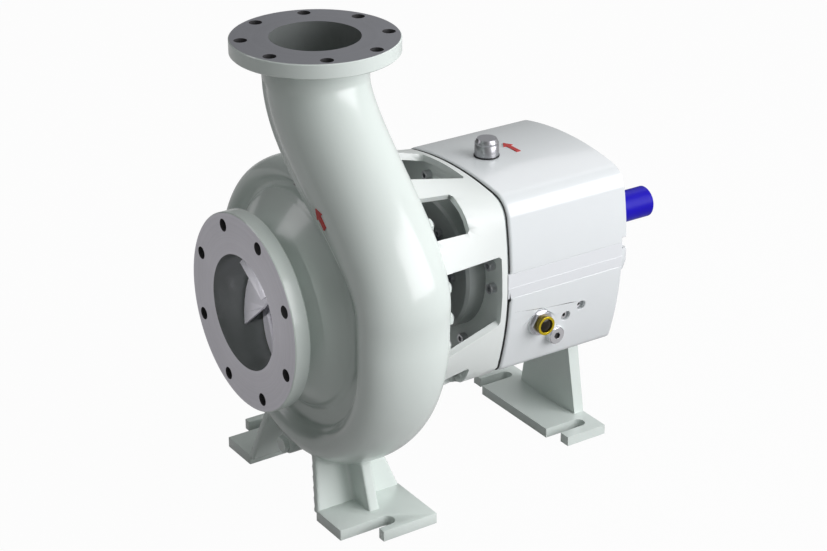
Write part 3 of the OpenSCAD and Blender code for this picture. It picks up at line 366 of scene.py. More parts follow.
def combine(made: bpy.types.Object, other: bpy.types.Object, operation: str = "UNION") -> bpy.types.Object:
    """Joins or cuts a piece with another, which is then removed."""
    step = made.modifiers.new("cut", "BOOLEAN")
    step.operation = operation
    step.solver = "MANIFOLD"
    step.object = other
    settle(made)
    bpy.data.objects.remove(other)
    return made


def lathe(name: str, profile: Sequence[tuple[float, float]], axis: str = "X", centre: Point = (0, 0, 0),
          steps: int = 128) -> bpy.types.Object:
    """Turned solid.

    Args:
        name: name of the piece.
        profile: (place along the axis, radius) pairs in mm; the first and last are joined.
        axis: X or Z.
        centre: a point on the axis, in mm.
        steps: facets round the axis.
    Returns:
        The closed piece.
    """
    points = []
    for k in range(steps):
        a = 2 * math.pi * k / steps
        for along, r in profile:
            c, s = r * math.cos(a), r * math.sin(a)
            local = (along, c, s) if axis == "X" else (c, s, along)
            points.append(tuple(local[i] + centre[i] for i in range(3)))
    n = len(profile)
    faces = [(k * n + i, k * n + (i + 1) % n, (k + 1) % steps * n + (i + 1) % n, (k + 1) % steps * n + i)
             for k in range(steps) for i in range(n)]
    made = new_object(name, points, faces)
    tidy_normals(made, 1e-6)
    return made


def bevel(made: bpy.types.Object, width: float, segments: int, by_weight: bool = False) -> bpy.types.Object:
    """Rounds a piece's sharp edges, or those that carry a weight, by a width in mm."""
    step = made.modifiers.new("edge", "BEVEL")
    step.width = width * MM
    step.segments = segments
    step.limit_method = "WEIGHT" if by_weight else "ANGLE"
    step.angle_limit = math.radians(SHARP_ANGLE)
    step.use_clamp_overlap = not by_weight
    return settle(made)


def refined(node: str, width: float, segments: int = 2, strong: Optional[Callable[[Any], bool]] = None,
            strong_width: float = 0.0) -> bpy.types.Object:
    """Copies a CAD node and rounds its edges a little.

    Args:
        node: the CAD node.
        width: edge width in mm.
        segments: steps in the rounding.
        strong: test of an edge, for those that are rounded more.
        strong_width: width of those.
    Returns:
        The new piece.
    """
    mesh = FRAME["nodes"][node].data.copy()
    made = bpy.data.objects.new(node + "_dressed", mesh)
    bpy.context.scene.collection.objects.link(made)
    work = bmesh.new()
    work.from_mesh(mesh)
    bmesh.ops.remove_doubles(work, verts=work.verts, dist=MERGE_DISTANCE)
    bmesh.ops.dissolve_limit(work, angle_limit=math.radians(FLAT_ANGLE), verts=work.verts, edges=work.edges)
    if strong:
        bmesh.ops.connect_verts_concave(work, faces=work.faces)
        weight = work.edges.layers.float.new("bevel_weight_edge")
        for edge in work.edges:
            if len(edge.link_faces) == 2 and edge.calc_face_angle(0.0) > math.radians(SHARP_ANGLE):
                edge[weight] = 1.0 if strong(edge) else width / strong_width
    work.to_mesh(mesh)
    work.free()
    mesh.materials.clear()
    if width > 0:
        bevel(made, strong_width if strong else width, segments, by_weight=bool(strong))
    soften(made)
    if width == 0:
        return made
    even = made.modifiers.new("even", "WEIGHTED_NORMAL")
    even.keep_sharp = True
    return settle(made)


def prism(name: str, points: Sequence[Point]) -> bpy.types.Object:
    """A straight solid from the points of its first end and, in the same order, of its second."""
    n = len(points) // 2
    sides = [(k, n + k, n + (k + 1) % n, (k + 1) % n) for k in range(n)]
    return new_object(name, points, [tuple(range(n)), tuple(range(2 * n - 1, n - 1, -1)), *sides])


def start_group(name: str, values: dict[str, float]) -> tuple[Any, Tree, Any]:
    """Starts a geometry node group with one named input for each value.

    Args:
        name: name of the group.
        values: input name to the value it's run with; an int makes an integer input.
    Returns:
        The group, its tree and its input node.
    """
    group = bpy.data.node_groups.new(name, "GeometryNodeTree")
    for label, value in values.items():
        kind = "NodeSocketInt" if isinstance(value, int) else "NodeSocketFloat"
        group.interface.new_socket(label, in_out="INPUT", socket_type=kind)
    group.interface.new_socket("Geometry", in_out="OUTPUT", socket_type="NodeSocketGeometry")
    tree = Tree(group)
    return group, tree, tree.add("NodeGroupInput")


def run_group(name: str, group: Any, tree: Tree, geometry: Any, finish: Finish,
              values: dict[str, float]) -> bpy.types.Object:
    """Ends a geometry node group, runs it once and keeps the mesh.

    Args:
        name: name of the piece.
        group: the node group, which is removed.
        tree: its tree.
        geometry: the output that holds the piece.
        finish: the piece's finish.
        values: input name to value.
    Returns:
        The piece.
    """
    real = tree.add("GeometryNodeRealizeInstances", None, {"Geometry": geometry})
    coat = tree.add("GeometryNodeSetMaterial", None, {"Geometry": real.outputs[0], "Material": finish.build()})
    tree.add("NodeGroupOutput", None, {0: coat.outputs[0]})
    made = new_object(name, [(0, 0, 0)], [])
    step = made.modifiers.new("nodes", "NODES")
    step.node_group = group
    for item in group.interface.items_tree:
        if item.in_out == "INPUT":
            step[item.identifier] = values[item.name]
    settle(made)
    bpy.data.node_groups.remove(group)
    return made


def dress(made: bpy.types.Object, finish: Finish, body: str, slot: str, *nodes: str) -> bpy.types.Object:
    """Gives a piece its finish and body and hides the CAD nodes it stands for."""
    if not made.data.materials:
        made.data.materials.append(finish.build())
    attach(made, body)
    if nodes:
        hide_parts(*nodes)
    LOG.info("piece %s: %d faces", made.name, len(made.data.polygons))
    return made


def paint_faces(made: bpy.types.Object, finish: Finish, test: Callable[[Vector, Vector], bool]) -> None:
    """Gives the faces that pass a test (centre in mm, normal) a finish of their own."""
    made.data.materials.append(finish.build())
    index = len(made.data.materials) - 1
    for polygon in made.data.polygons:
        if test(polygon.center / MM, polygon.normal):
            polygon.material_index = index


@dataclass(frozen=True)
class FlangeSize:
    """Sizes of a pipe flange in mm."""

    od: float
    bore_r: float
    thick: float
    bolt_circle: float


SUCTION_FLANGE = FlangeSize(342.9, 100.0, 28.6, 298.45)
DISCHARGE_FLANGE = FlangeSize(279.4, 75.0, 25.4, 241.3)


@dataclass
class VoluteCasing:
    """The cast volute with its two branches, feet and raised line."""

    reach: float = 150.0
    height: float = 454.0
    branch_r: float = 88.0
    wall: float = 12.0
    bend_low: float = 60.0
    bend_high: float = 390.0
    start: float = -12.0
    finish: float = 270.0
    rim_r: float = 191.8
    rear_r: float = 222.0
    drum_x: float = 204.0
    back_x: float = 234.0
    split: float = 0.66
    drive_share: float = 0.93
    voxel: float = 2.8
    growth_z: float = 340.0
    inner_end_z: float = 130.0
    inner_from: float = 232.0
    inner_to: float = 308.0
    inner_span: float = 38.0
    ridge_angle: float = 226.0
    ridge_turn: float = 12.0
    ridge_half: float = 6.0
    hollow_angle: float = 214.0
    hollow_half: float = 48.0
    chamber_x: tuple[float, float] = (118.0, 182.0)
    chamber_r: float = 205.0
    mouth_r: float = 190.0
    bore_clear: float = 0.5
    outlet_z: float = 392.0
    hole_r: float = 11.1
    hole_turn: float = 22.5
    sole_z: float = -367.0
    plate_thick: float = 20.0
    plate_inner_y: float = 113.6
    web_y: float = 118.6
    web_lean: float = 18.0
    web_thick: float = 14.0
    rib_half: float = 10.0
    slot_r: float = 13.6
    slot_y: float = 205.5

    def outer(self, a: Any) -> Any:
        """Outside radius of the spiral at an angle."""
        return 232.7 + 0.3906 * a - 0.000375 * a * a

    def half_w(self, a: Any) -> Any:
        """Half width of the section."""
        return 50 + (a - 45) * (36 / 225)

    def half_h(self, a: Any) -> Any:
        """Half height of the section."""
        return 24 + (a - 45) * (25 / 225)

    def skin(self, name: str, stations: int, sides: int, wall: float, inner_r: float, inner_w: float,
             first: float, top: float, bead: float) -> bpy.types.Object:
        """Makes the skin of the passage or of the outside with a node tree on a grid.

        Args:
            name: name of the piece.
            stations: sections along the passage.
            sides: points round a section.
            wall: how far the skin lies inside the outside.
            inner_r: radius of the section's inner edge.
            inner_w: half width there.
            first: angle of the first section.
            top: height of the last section.
            bead: height of the raised line.
        Returns:
            The closed skin.
        """
        values = {"Stations": stations, "Sides": sides, "Wall": wall, "Inner Radius": inner_r,
                  "Inner Half Width": inner_w, "First Angle": first, "Top": top, "Bead": bead}
        group, tree, inputs = start_group(name, values)
        get = {label: tree.value(inputs, label) for label in values}
        grid = tree.add("GeometryNodeMeshGrid", None, {"Size X": 1.0, "Size Y": 1.0, "Vertices X": get["Stations"],
                                                       "Vertices Y": get["Sides"]})
        part = tree.add("ShaderNodeSeparateXYZ", None, {0: grid.outputs["UV Map"]})
        u, v = tree.value(part, 0), tree.value(part, 1)
        place = self.section(u, v, get)
        vector = tree.add("ShaderNodeCombineXYZ", None, {0: place[0] * MM, 1: place[1] * MM, 2: place[2] * MM})
        moved = tree.add("GeometryNodeSetPosition", None, {"Geometry": grid.outputs["Mesh"],
                                                           "Position": vector.outputs[0]})
        merged = tree.add("GeometryNodeMergeByDistance", None, {"Geometry": moved.outputs[0], "Distance": 1e-6})
        made = run_group(name, group, tree, merged.outputs[0], CAST_PAINT, values)
        made.data.materials.clear()
        tidy_normals(made)
        return made

    def section(self, u: Expr, v: Expr, get: dict[str, Expr]) -> tuple[Expr, Expr, Expr]:
        """Place of a point of the skin, in mm.

        Args:
            u: share of the way along the passage.
            v: share of the way round the section.
            get: the tree's inputs.
        Returns:
            The point's X, Y and Z.
        """
        branch = u.over(self.split)
        a = get["First Angle"].towards(self.finish, (u / self.split).clamp(0, 1))
        z = get["Top"] * ((u - self.split) / (1 - self.split)).clamp(0, 1)
        throat = self.outer(self.finish) - self.half_h(self.finish)
        s = ((z - self.bend_low) / (self.bend_high - self.bend_low)).clamp(0, 1)
        slope = (s * 180).sin() * (throat * math.pi / 2 / (self.bend_high - self.bend_low))
        lean = slope.math("ARCTANGENT") * (180 / math.pi) + 270
        g = (z / self.growth_z).clamp(0, 1).eased()
        share = (1 - (z / self.inner_end_z).clamp(0, 1).eased()).towards(1.0, 1 - branch)
        h0 = self.half_h(a)
        half_w = self.half_w(a).towards(self.branch_r - 0.4, g) - get["Wall"]
        half_h = h0.towards(self.branch_r - 0.4, g) - get["Wall"]
        rc = self.outer(a) - h0
        angle = a.towards(lean, branch)
        y0 = (rc * a.sin()).towards((1 + (s * 180).cos()) * (-throat / 2), branch)
        z0 = (rc * a.cos()).towards(z, branch)
        t = v * 360
        inward = t.over(self.inner_from) * (1 - t.over(self.inner_to)) * share
        off_ridge = (t - (self.ridge_angle - g * self.ridge_turn)) / self.ridge_half
        ridge = (1 - off_ridge.math("ABSOLUTE")).clamp(0, 1) * (get["Bead"] * (1 + g * 1.3))
        off_hollow = (t - self.hollow_angle) / self.hollow_half
        sunk = (1 - off_hollow.math("ABSOLUTE")).clamp(0, 1).eased() * (get["Bead"] * g * 1.4)
        drive = 1 - t.cos().over(0) * (1 - g) * (1 - self.drive_share)
        x = half_w * drive * t.cos() + (sunk - ridge) * 0.75
        d = half_h * t.sin() + (sunk - ridge) * 0.66
        flat_x = get["Inner Half Width"] * ((t - 270) / self.inner_span)
        x = x.towards(flat_x, inward)
        d = d.towards(get["Inner Radius"] - rc, inward)
        return x + self.reach, y0 + d * angle.sin(), z0 + d * angle.cos()

    def neck_profile(self) -> list[tuple[float, float]]:
        """Profile of the suction neck, flaring to the sharp rim of the front disc."""
        steps = 24
        flare = [(32 + (self.reach - 56 - 32) * k / steps, 122 + 62 * (k / steps) ** 1.35) for k in range(steps + 1)]
        roll = [(self.reach - 56 + 6 * math.sin(math.radians(b)), 184 + 7.8 * (1 - math.cos(math.radians(b))))
                for b in range(15, 90, 15)]
        return [(12, 60), (12, 122), *flare, *roll, (self.reach - 50, self.rim_r), (214, self.rim_r), (214, 60)]

    def foot(self, side: int) -> bpy.types.Object:
        """One foot's rib and leaning web, without its plate."""
        top = self.plate_thick + self.sole_z
        lean = math.radians(self.web_lean)
        web = [(-84, 0), (83, 0), (50, 112), (-67, 112)]
        points = []
        for depth in (0.0, self.web_thick):
            for x, h in web:
                y = depth * math.cos(lean) + h * math.sin(lean)
                z = h * math.cos(lean) - depth * math.sin(lean)
                points.append((self.reach + x, side * (self.web_y - y), top - 4 + z))
        pieces = [prism("web", points)]
        outline = [(self.plate_inner_y, top - 4), (168.5, top - 4), (138, top + 88), (70, top + 100), (90, top + 60)]
        points = [(self.reach + x, side * y, z) for x in (-self.rib_half, self.rib_half) for y, z in outline]
        pieces.append(prism("rib", points))
        for piece in pieces:
            tidy_normals(piece)
        return combine(pieces[0], pieces[1])

    def plate(self, side: int) -> bpy.types.Object:
        """One foot's plate with its open slot and short prong."""
        x0, x1 = 66.0, 233.0
        arc = [(self.reach + self.slot_r * math.cos(math.radians(b)),
                self.slot_y + self.slot_r * math.sin(math.radians(b))) for b in range(-90, 91, 10)]
        prong = [(x1, 234.2), (125, 234.2), (125, self.slot_y + self.slot_r)]
        outline = [(x0, self.plate_inner_y), (x1, self.plate_inner_y), *prong, *arc[::-1],
                   (x0, self.slot_y - self.slot_r)]
        points = [(x, side * y, z) for z in (self.sole_z, self.sole_z + self.plate_thick) for x, y in outline]
        made = prism("foot_plate_" + ("far" if side > 0 else "near"), points)
        tidy_normals(made)
        bevel(made, 1.2, 2)
        soften(made)
        return made

    def cylinder(self, low: float, high: float, r: float) -> list[tuple[float, float]]:
        """Profile of a plain cylinder from one place on its axis to another."""
        return [(low, CORE_R), (low, r), (high, r), (high, CORE_R)]

    def body(self) -> bpy.types.Object:
        """The casting itself, melted together with soft inner corners, then bored."""
        made = self.skin("casing_body", stations=240, sides=96, wall=0.0, inner_r=176.0, inner_w=50.0,
                         first=self.start, top=416.0, bead=4.2)
        edge = 1.5
        drum = [(self.drum_x, 60), (self.drum_x, self.rear_r - edge), (self.drum_x + edge, self.rear_r),
                (self.back_x - edge, self.rear_r), (self.back_x, self.rear_r - edge), (self.back_x, 60)]
        boss_x, boss_r = 92, 19
        boss = [(boss_x, CORE_R), (boss_x, boss_r - 1), (boss_x + 1, boss_r), (self.reach, boss_r),
                (self.reach, CORE_R)]
        over_outlet = (self.reach, 0, 0)
        for other in (lathe("neck", self.neck_profile()), lathe("drum", drum),
                      lathe("branch", self.cylinder(384, 440, self.branch_r), "Z", over_outlet),
                      lathe("drain_boss", boss, "X", (0, 30, -292))):
            combine(made, other)
        for side in (-1, 1):
            combine(made, self.foot(side))
        melt = made.modifiers.new("melt", "REMESH")
        melt.mode = "VOXEL"
        melt.voxel_size = self.voxel * MM
        calm = made.modifiers.new("calm", "SMOOTH")
        calm.factor = 0.5
        calm.iterations = 5
        settle(made)
        passage = self.skin("passage", stations=120, sides=40, wall=self.wall, inner_r=196.0, inner_w=28.0,
                            first=10.0, top=402.0, bead=0.0)
        combine(made, passage, "DIFFERENCE")
        suction_r = SUCTION_FLANGE.bore_r + self.bore_clear
        outlet_r = DISCHARGE_FLANGE.bore_r + self.bore_clear
        for other in (lathe("bore", self.cylinder(-5, self.reach, suction_r)),
                      lathe("chamber", self.cylinder(*self.chamber_x, self.chamber_r)),
                      lathe("mouth", self.cylinder(self.reach, self.back_x + 6, self.mouth_r)),
                      lathe("outlet", self.cylinder(self.outlet_z, 450, outlet_r), "Z", over_outlet)):
            combine(made, other, "DIFFERENCE")
        soften(made, 50)
        return made

    def flange(self, name: str, size: FlangeSize, axis: str, face: float) -> bpy.types.Object:
        """A pipe flange with eight drilled holes and softened edges."""
        sign = 1 if axis == "X" else -1
        rim, front_edge, back_edge = size.od / 2, 1.6, 2
        back = face + sign * size.thick
        profile = [(face, size.bore_r), (face, rim - front_edge), (face + sign * front_edge, rim),
                   (face + sign * (size.thick - back_edge), rim), (back, rim - back_edge), (back, size.bore_r)]
        centre = (0, 0, 0) if axis == "X" else (self.reach, 0, 0)
        made = lathe(name, profile, axis, centre, 192)
        for k in range(8):
            b = math.radians(self.hole_turn + 45 * k)
            across, along = size.bolt_circle / 2 * math.cos(b), size.bolt_circle / 2 * math.sin(b)
            place = (0, across, along) if axis == "X" else (self.reach + across, along, 0)
            low, high = sorted((face - sign * 3, face + sign * (size.thick + 3)))
            combine(made, lathe("drill", self.cylinder(low, high, self.hole_r), axis, place, 40), "DIFFERENCE")
        soften(made, 30)
        return made

    def build(self) -> None:
        """Makes and dresses every piece of the casting."""
        body = self.body()
        body.data.materials.clear()
        body.data.materials.append(CAST_PAINT.build())
        # Painted shade on the wetted passages and the bores of the casting.
        paint_faces(body, BORE_SHADE_PAINT, self.is_inside)
        dress(body, CAST_PAINT, "casing", "casting_paint", "volute_casing")
        suction = self.flange("suction_flange", SUCTION_FLANGE, "X", 0.0)
        suction.data.materials.clear()
        suction.data.materials.append(CAST_PAINT.build())
        paint_faces(suction, SUCTION_FACE, lambda c, n: c.x < 1 and n.x < -0.9)
        # Painted shade on the suction bore wall.
        paint_faces(suction, BORE_SHADE_PAINT, lambda c, n: abs(math.hypot(c.y, c.z) - SUCTION_FLANGE.bore_r) < 1)
        # Painted shade inside the suction flange's bolt holes.
        paint_faces(suction, HOLE_SHADE, lambda c, n: 3 < c.x < 26 and abs(n.x) < 0.2 and
                    110 < math.hypot(c.y, c.z) < 165)
        dress(suction, CAST_PAINT, "casing", "casting_paint")
        discharge = self.flange("discharge_flange", DISCHARGE_FLANGE, "Z", self.height)
        discharge.data.materials.clear()
        discharge.data.materials.append(CAST_PAINT.build())
        paint_faces(discharge, DISCHARGE_FACE, lambda c, n: c.z > self.height - 1 and n.z > 0.9)
        # Painted shade on the discharge bore wall.
        paint_faces(discharge, BORE_SHADE_PAINT,
                    lambda c, n: abs(math.hypot(c.x - self.reach, c.y) - DISCHARGE_FLANGE.bore_r) < 1)
        # Painted shade inside the discharge flange's bolt holes.
        paint_faces(discharge, HOLE_SHADE, lambda c, n: self.height - 25 < c.z < self.height - 0.1 and abs(n.z) < 0.2 and
                    85 < math.hypot(c.x - self.reach, c.y) < 135)
        dress(discharge, CAST_PAINT, "casing", "casting_paint")
        for side in (-1, 1):
            dress(self.plate(side), CAST_PAINT, "casing", "casting_paint")

    def is_inside(self, centre: Vector, normal: Vector) -> bool:
        """Tells whether a face belongs to the wetted passages or a bore, which get painted shade."""
        radius = math.hypot(centre.y, centre.z)
        if centre.x < self.chamber_x[0] and radius < SUCTION_FLANGE.bore_r + 1:
            return True
        if self.chamber_x[0] - 1 < centre.x < self.back_x + 1 and radius < self.chamber_r + 1:
            return centre.x > self.reach or normal.x > -0.2
        if centre.z > self.outlet_z - 7:
            return math.hypot(centre.x - self.reach, centre.y) < DISCHARGE_FLANGE.bore_r + 1
        return False


@dataclass
class Fastener:
    """A stud or nut that a node tree repeats round the shaft, on the places clear of the lantern's ribs."""

    count: int = 24
    circle: float = 204.0
    first: float = 0.0

    def ring(self, name: str, template: bpy.types.Object, finish: Finish) -> bpy.types.Object:
        """Repeats a piece that is drawn on the shaft axis, on a circle round it.

        Args:
            name: name of the piece.
            template: the piece at the circle's centre; it is removed.
            finish: its finish.
        Returns:
            All the pieces as one mesh.
        """
        values = {"Count": self.count, "Circle": self.circle * MM, "First Angle": math.radians(self.first)}
        group, tree, inputs = start_group(name, values)
        circle = tree.add("GeometryNodeMeshCircle", None, {"Vertices": inputs.outputs["Count"],
                                                           "Radius": inputs.outputs["Circle"]})
        index = tree.value(tree.add("GeometryNodeInputIndex"))
        angle = tree.value(inputs, "First Angle") + index * (2 * math.pi) / tree.value(inputs, "Count")
        r = tree.value(inputs, "Circle")
        place = tree.add("ShaderNodeCombineXYZ", None, {0: 0.0, 1: r * angle.math("SINE") * -1.0,
                                                        2: r * angle.math("COSINE")})
        moved = tree.add("GeometryNodeSetPosition", None, {"Geometry": circle.outputs[0], "Position": place.outputs[0]})
        turn = tree.add("ShaderNodeCombineXYZ", None, {0: angle})
        info = tree.add("GeometryNodeObjectInfo", None, {"Object": template})
        odd = index.math("MODULO", 2)
        sixth = index.math("MODULO", 6).math("LESS_THAN", 0.5)
        copies = tree.add("GeometryNodeInstanceOnPoints", None, {
            "Points": moved.outputs[0], "Selection": odd + sixth, "Instance": info.outputs["Geometry"],
            "Rotation": turn.outputs[0]})
        made = run_group(name, group, tree, copies.outputs[0], finish, values)
        bpy.data.objects.remove(template)
        soften(made)
        return made


def hex_nut(x: float, high: float, flats: float, hole: float) -> bpy.types.Object:
    """A chamfered hexagon nut along the shaft, centred on the axis."""
    r = flats / math.sqrt(3)
    blank = lathe("blank", [(x, hole), (x, r), (x + high, r), (x + high, hole)], steps=6)
    wide = flats / 2 + 2.2
    shape = [(x - 1, CORE_R), (x - 1, flats / 2 - 0.6), (x + 1.4, wide), (x + high - 2.2, wide),
             (x + high, flats / 2 - 0.8), (x + high, CORE_R)]
    return combine(blank, lathe("cone", shape, steps=48), "INTERSECT")


def threaded_stud(x0: float, x1: float, r: float, pitch: float = 2.0) -> bpy.types.Object:
    """A stud with rings for its thread and a chamfered end."""
    thread_run, thread_deep, chamfer = 26, 0.7, 1.5
    rings = []
    x = x1 - thread_run
    while x < x1 - 2:
        rings += [(x, r), (x + pitch / 2, r - thread_deep)]
        x += pitch
    return lathe("stud", [(x0, CORE_R), (x0, r), *rings, (x1 - chamfer, r), (x1, r - chamfer), (x1, CORE_R)],
                 steps=24)


@dataclass
class CasingBolting:
    """The studs and nuts round the casing joint."""

    seat: float = 262.0
    nut_high: float = 14.5
    flats: float = 24.0
    stud_r: float = 8.0
    stud_x: float = 212.0
    stud_past_seat: float = 19.0

    def build(self) -> None:
        """Makes both rings."""
        ring = Fastener()
        nut = hex_nut(self.seat, self.nut_high, self.flats, self.stud_r + 0.05)
        nuts = ring.ring("casing_nut_ring", nut, CAST_PAINT)
        dress(nuts, CAST_PAINT, "casing", "painted_steel", "casing_nuts")
        stud = threaded_stud(self.stud_x, self.seat + self.stud_past_seat, self.stud_r)
        studs = ring.ring("casing_stud_ring", stud, STEEL)
        dress(studs, STEEL, "casing", "steel", "casing_studs")


@dataclass
class Housing:
    """The lantern, the bearing frame and the rear foot."""

    edges: dict[str, tuple[float, Finish, str]] = field(default_factory=lambda: {
        "lantern": (1.8, LANTERN_PAINT, "casting_paint"),
        "bearing_frame": (1.4, SMOOTH_PAINT, "frame_paint"),
        "frame_hood": (1.4, SMOOTH_PAINT, "frame_paint"),
        "side_strip_near": (0.3, STRIP_PAINT, "strip_paint"),
        "side_strip_far": (0.3, STRIP_PAINT, "strip_paint"),
        "rear_bearing_cover": (0.8, SMOOTH_PAINT, "frame_paint"),
        "front_bearing_cover": (1.2, COVER_PAINT, "cover_paint"),
        "rear_foot": (1.4, CAST_PAINT, "casting_paint")})
    groove_x: float = 416.0
    front_x: float = 424.0
    front_round: float = 7.5

    def is_front(self, edge: Any) -> bool:
        """Tells whether an edge lies on the outside of the shell's front face, which is rounded more."""
        middle = (edge.verts[0].co + edge.verts[1].co) * (0.5 / MM)
        if abs(middle.x - self.front_x) > 0.3:
            return False
        outward = Vector((0, middle.y, middle.z)).normalized()
        return max(face.normal.dot(outward) for face in edge.link_faces) > 0.6

    def in_groove(self, centre: Vector, normal: Vector) -> bool:
        """Tells whether a face bounds the groove between the lantern and the shell, which gets painted shade."""
        shell_inner_r = 120
        return (self.groove_x < centre.x < self.front_x + 1 and abs(normal.x) > 0.8 and
                math.hypot(centre.y, centre.z) > shell_inner_r)

    def build(self) -> None:
        """Makes and dresses every piece."""
        for node, (width, finish, slot) in self.edges.items():
            strong = self.is_front if node in ("bearing_frame", "frame_hood") else None
            made = refined(node, width, 3, strong=strong, strong_width=self.front_round)
            made.data.materials.append(finish.build())
            # Painted shade in the groove between the lantern and the frame.
            if strong or node == "lantern":
                paint_faces(made, GROOVE_SHADE, self.in_groove)
            dress(made, finish, "casing", slot, node)


def paint_socket_shade(made: bpy.types.Object, finish: Finish, share: float) -> None:
    """Paints shade into the sunk middle of each plug or screw head that faces -Y.

    Args:
        made: the piece, which may hold several plugs.
        finish: finish of the painted shade in the socket.
        share: socket radius as a share of the plug's.
    """
    made.data.materials.append(finish.build())
    index = len(made.data.materials) - 1
    work = bmesh.new()
    work.from_mesh(made.data)
    left = set(work.faces)
    while left:
        island, queue = [], [left.pop()]
        while queue:
            face = queue.pop()
            island.append(face)
            for edge in face.edges:
                for other in edge.link_faces:
                    if other in left:
                        left.remove(other)
                        queue.append(other)
        xs, ys, zs = ([v.co[k] for f in island for v in f.verts] for k in range(3))
        middle = ((min(xs) + max(xs)) / 2, (min(zs) + max(zs)) / 2)
        radius = (max(xs) - min(xs)) / 2
        for face in island:
            centre = face.calc_center_median()
            off = math.hypot(centre.x - middle[0], centre.z - middle[1])
            if off < share * radius and centre.y > min(ys) + 0.3 * MM:
                face.material_index = index
    work.to_mesh(made.data)
    work.free()


@dataclass
class Fittings:
    """Filler cap, sight glass, plugs, arrows and the shaft end."""

    edges: dict[str, tuple[float, Finish, str, str]] = field(default_factory=lambda: {
        "filler_cap": (0.0, CAP_STEEL, "bright_steel", "filler"),
        "filler_seat": (0.4, RUBBER, "rubber", "casing"),
        "sight_glass_nut": (0.5, STEEL, "bright_steel", "casing"),
        "sight_glass_bezel": (1.0, BRASS, "brass", "casing"),
        "sight_glass_lens": (0.2, GLASS, "glass", "casing"),
        "oil_drain_plug": (0.5, BRIGHT, "bright_steel", "casing"),
        "frame_plugs": (0.4, BRIGHT, "bright_steel", "casing"),
        "casing_drain_plug": (0.6, CAST_PAINT, "dark_steel", "casing"),
        "lantern_screws": (0.5, STEEL, "dark_steel", "casing"),
        "front_cover_screws": (0.4, DARK_STEEL, "dark_steel", "casing"),
        "shaft": (0.6, SHAFT_BLUE, "shaft_coating", "rotor"),
        "impeller": (0.0, IMPELLER_IRON, "impeller_iron", "rotor"),
        "slinger": (0.5, RUBBER, "rubber", "rotor"),
        "seal_gland": (0.6, STEEL, "steel", "casing"),
        "casing_cover": (0.8, CAST_IRON, "cast_iron", "casing"),
        "roof_arrow": (0.2, ARROW_RED, "arrow_paint", "casing"),
        "volute_arrow": (0.2, ARROW_RED, "arrow_paint", "casing")})
    # Plugs whose sockets get painted shade, with the shaded share of their radius.
    sockets: dict[str, float] = field(default_factory=lambda: {"oil_drain_plug": 0.5, "frame_plugs": 0.62})

    def build(self) -> None:
        """Makes and dresses every piece."""
        for node, (width, finish, slot, body) in self.edges.items():
            made = refined(node, width)
            made.data.materials.append(finish.build())
            if node == "filler_cap":
                top = max(v.co.z for v in made.data.vertices) / MM
                # Painted shade: the flat top gets the dark steel, darker than the lit chamfer round it.
                paint_faces(made, DARK_STEEL, lambda c, n: n.z > 0.95 and c.z > top - 1.0)
            if node == "sight_glass_bezel":
                # Painted shade on the bezel faces that turn away from the front.
                paint_faces(made, BEZEL_DARK, lambda c, n: n.y > -0.5)
            # Painted shade in the sockets of the plugs.
            if node in self.sockets:
                paint_socket_shade(made, HOLE_SHADE, self.sockets[node])
            dress(made, finish, body, slot, node)


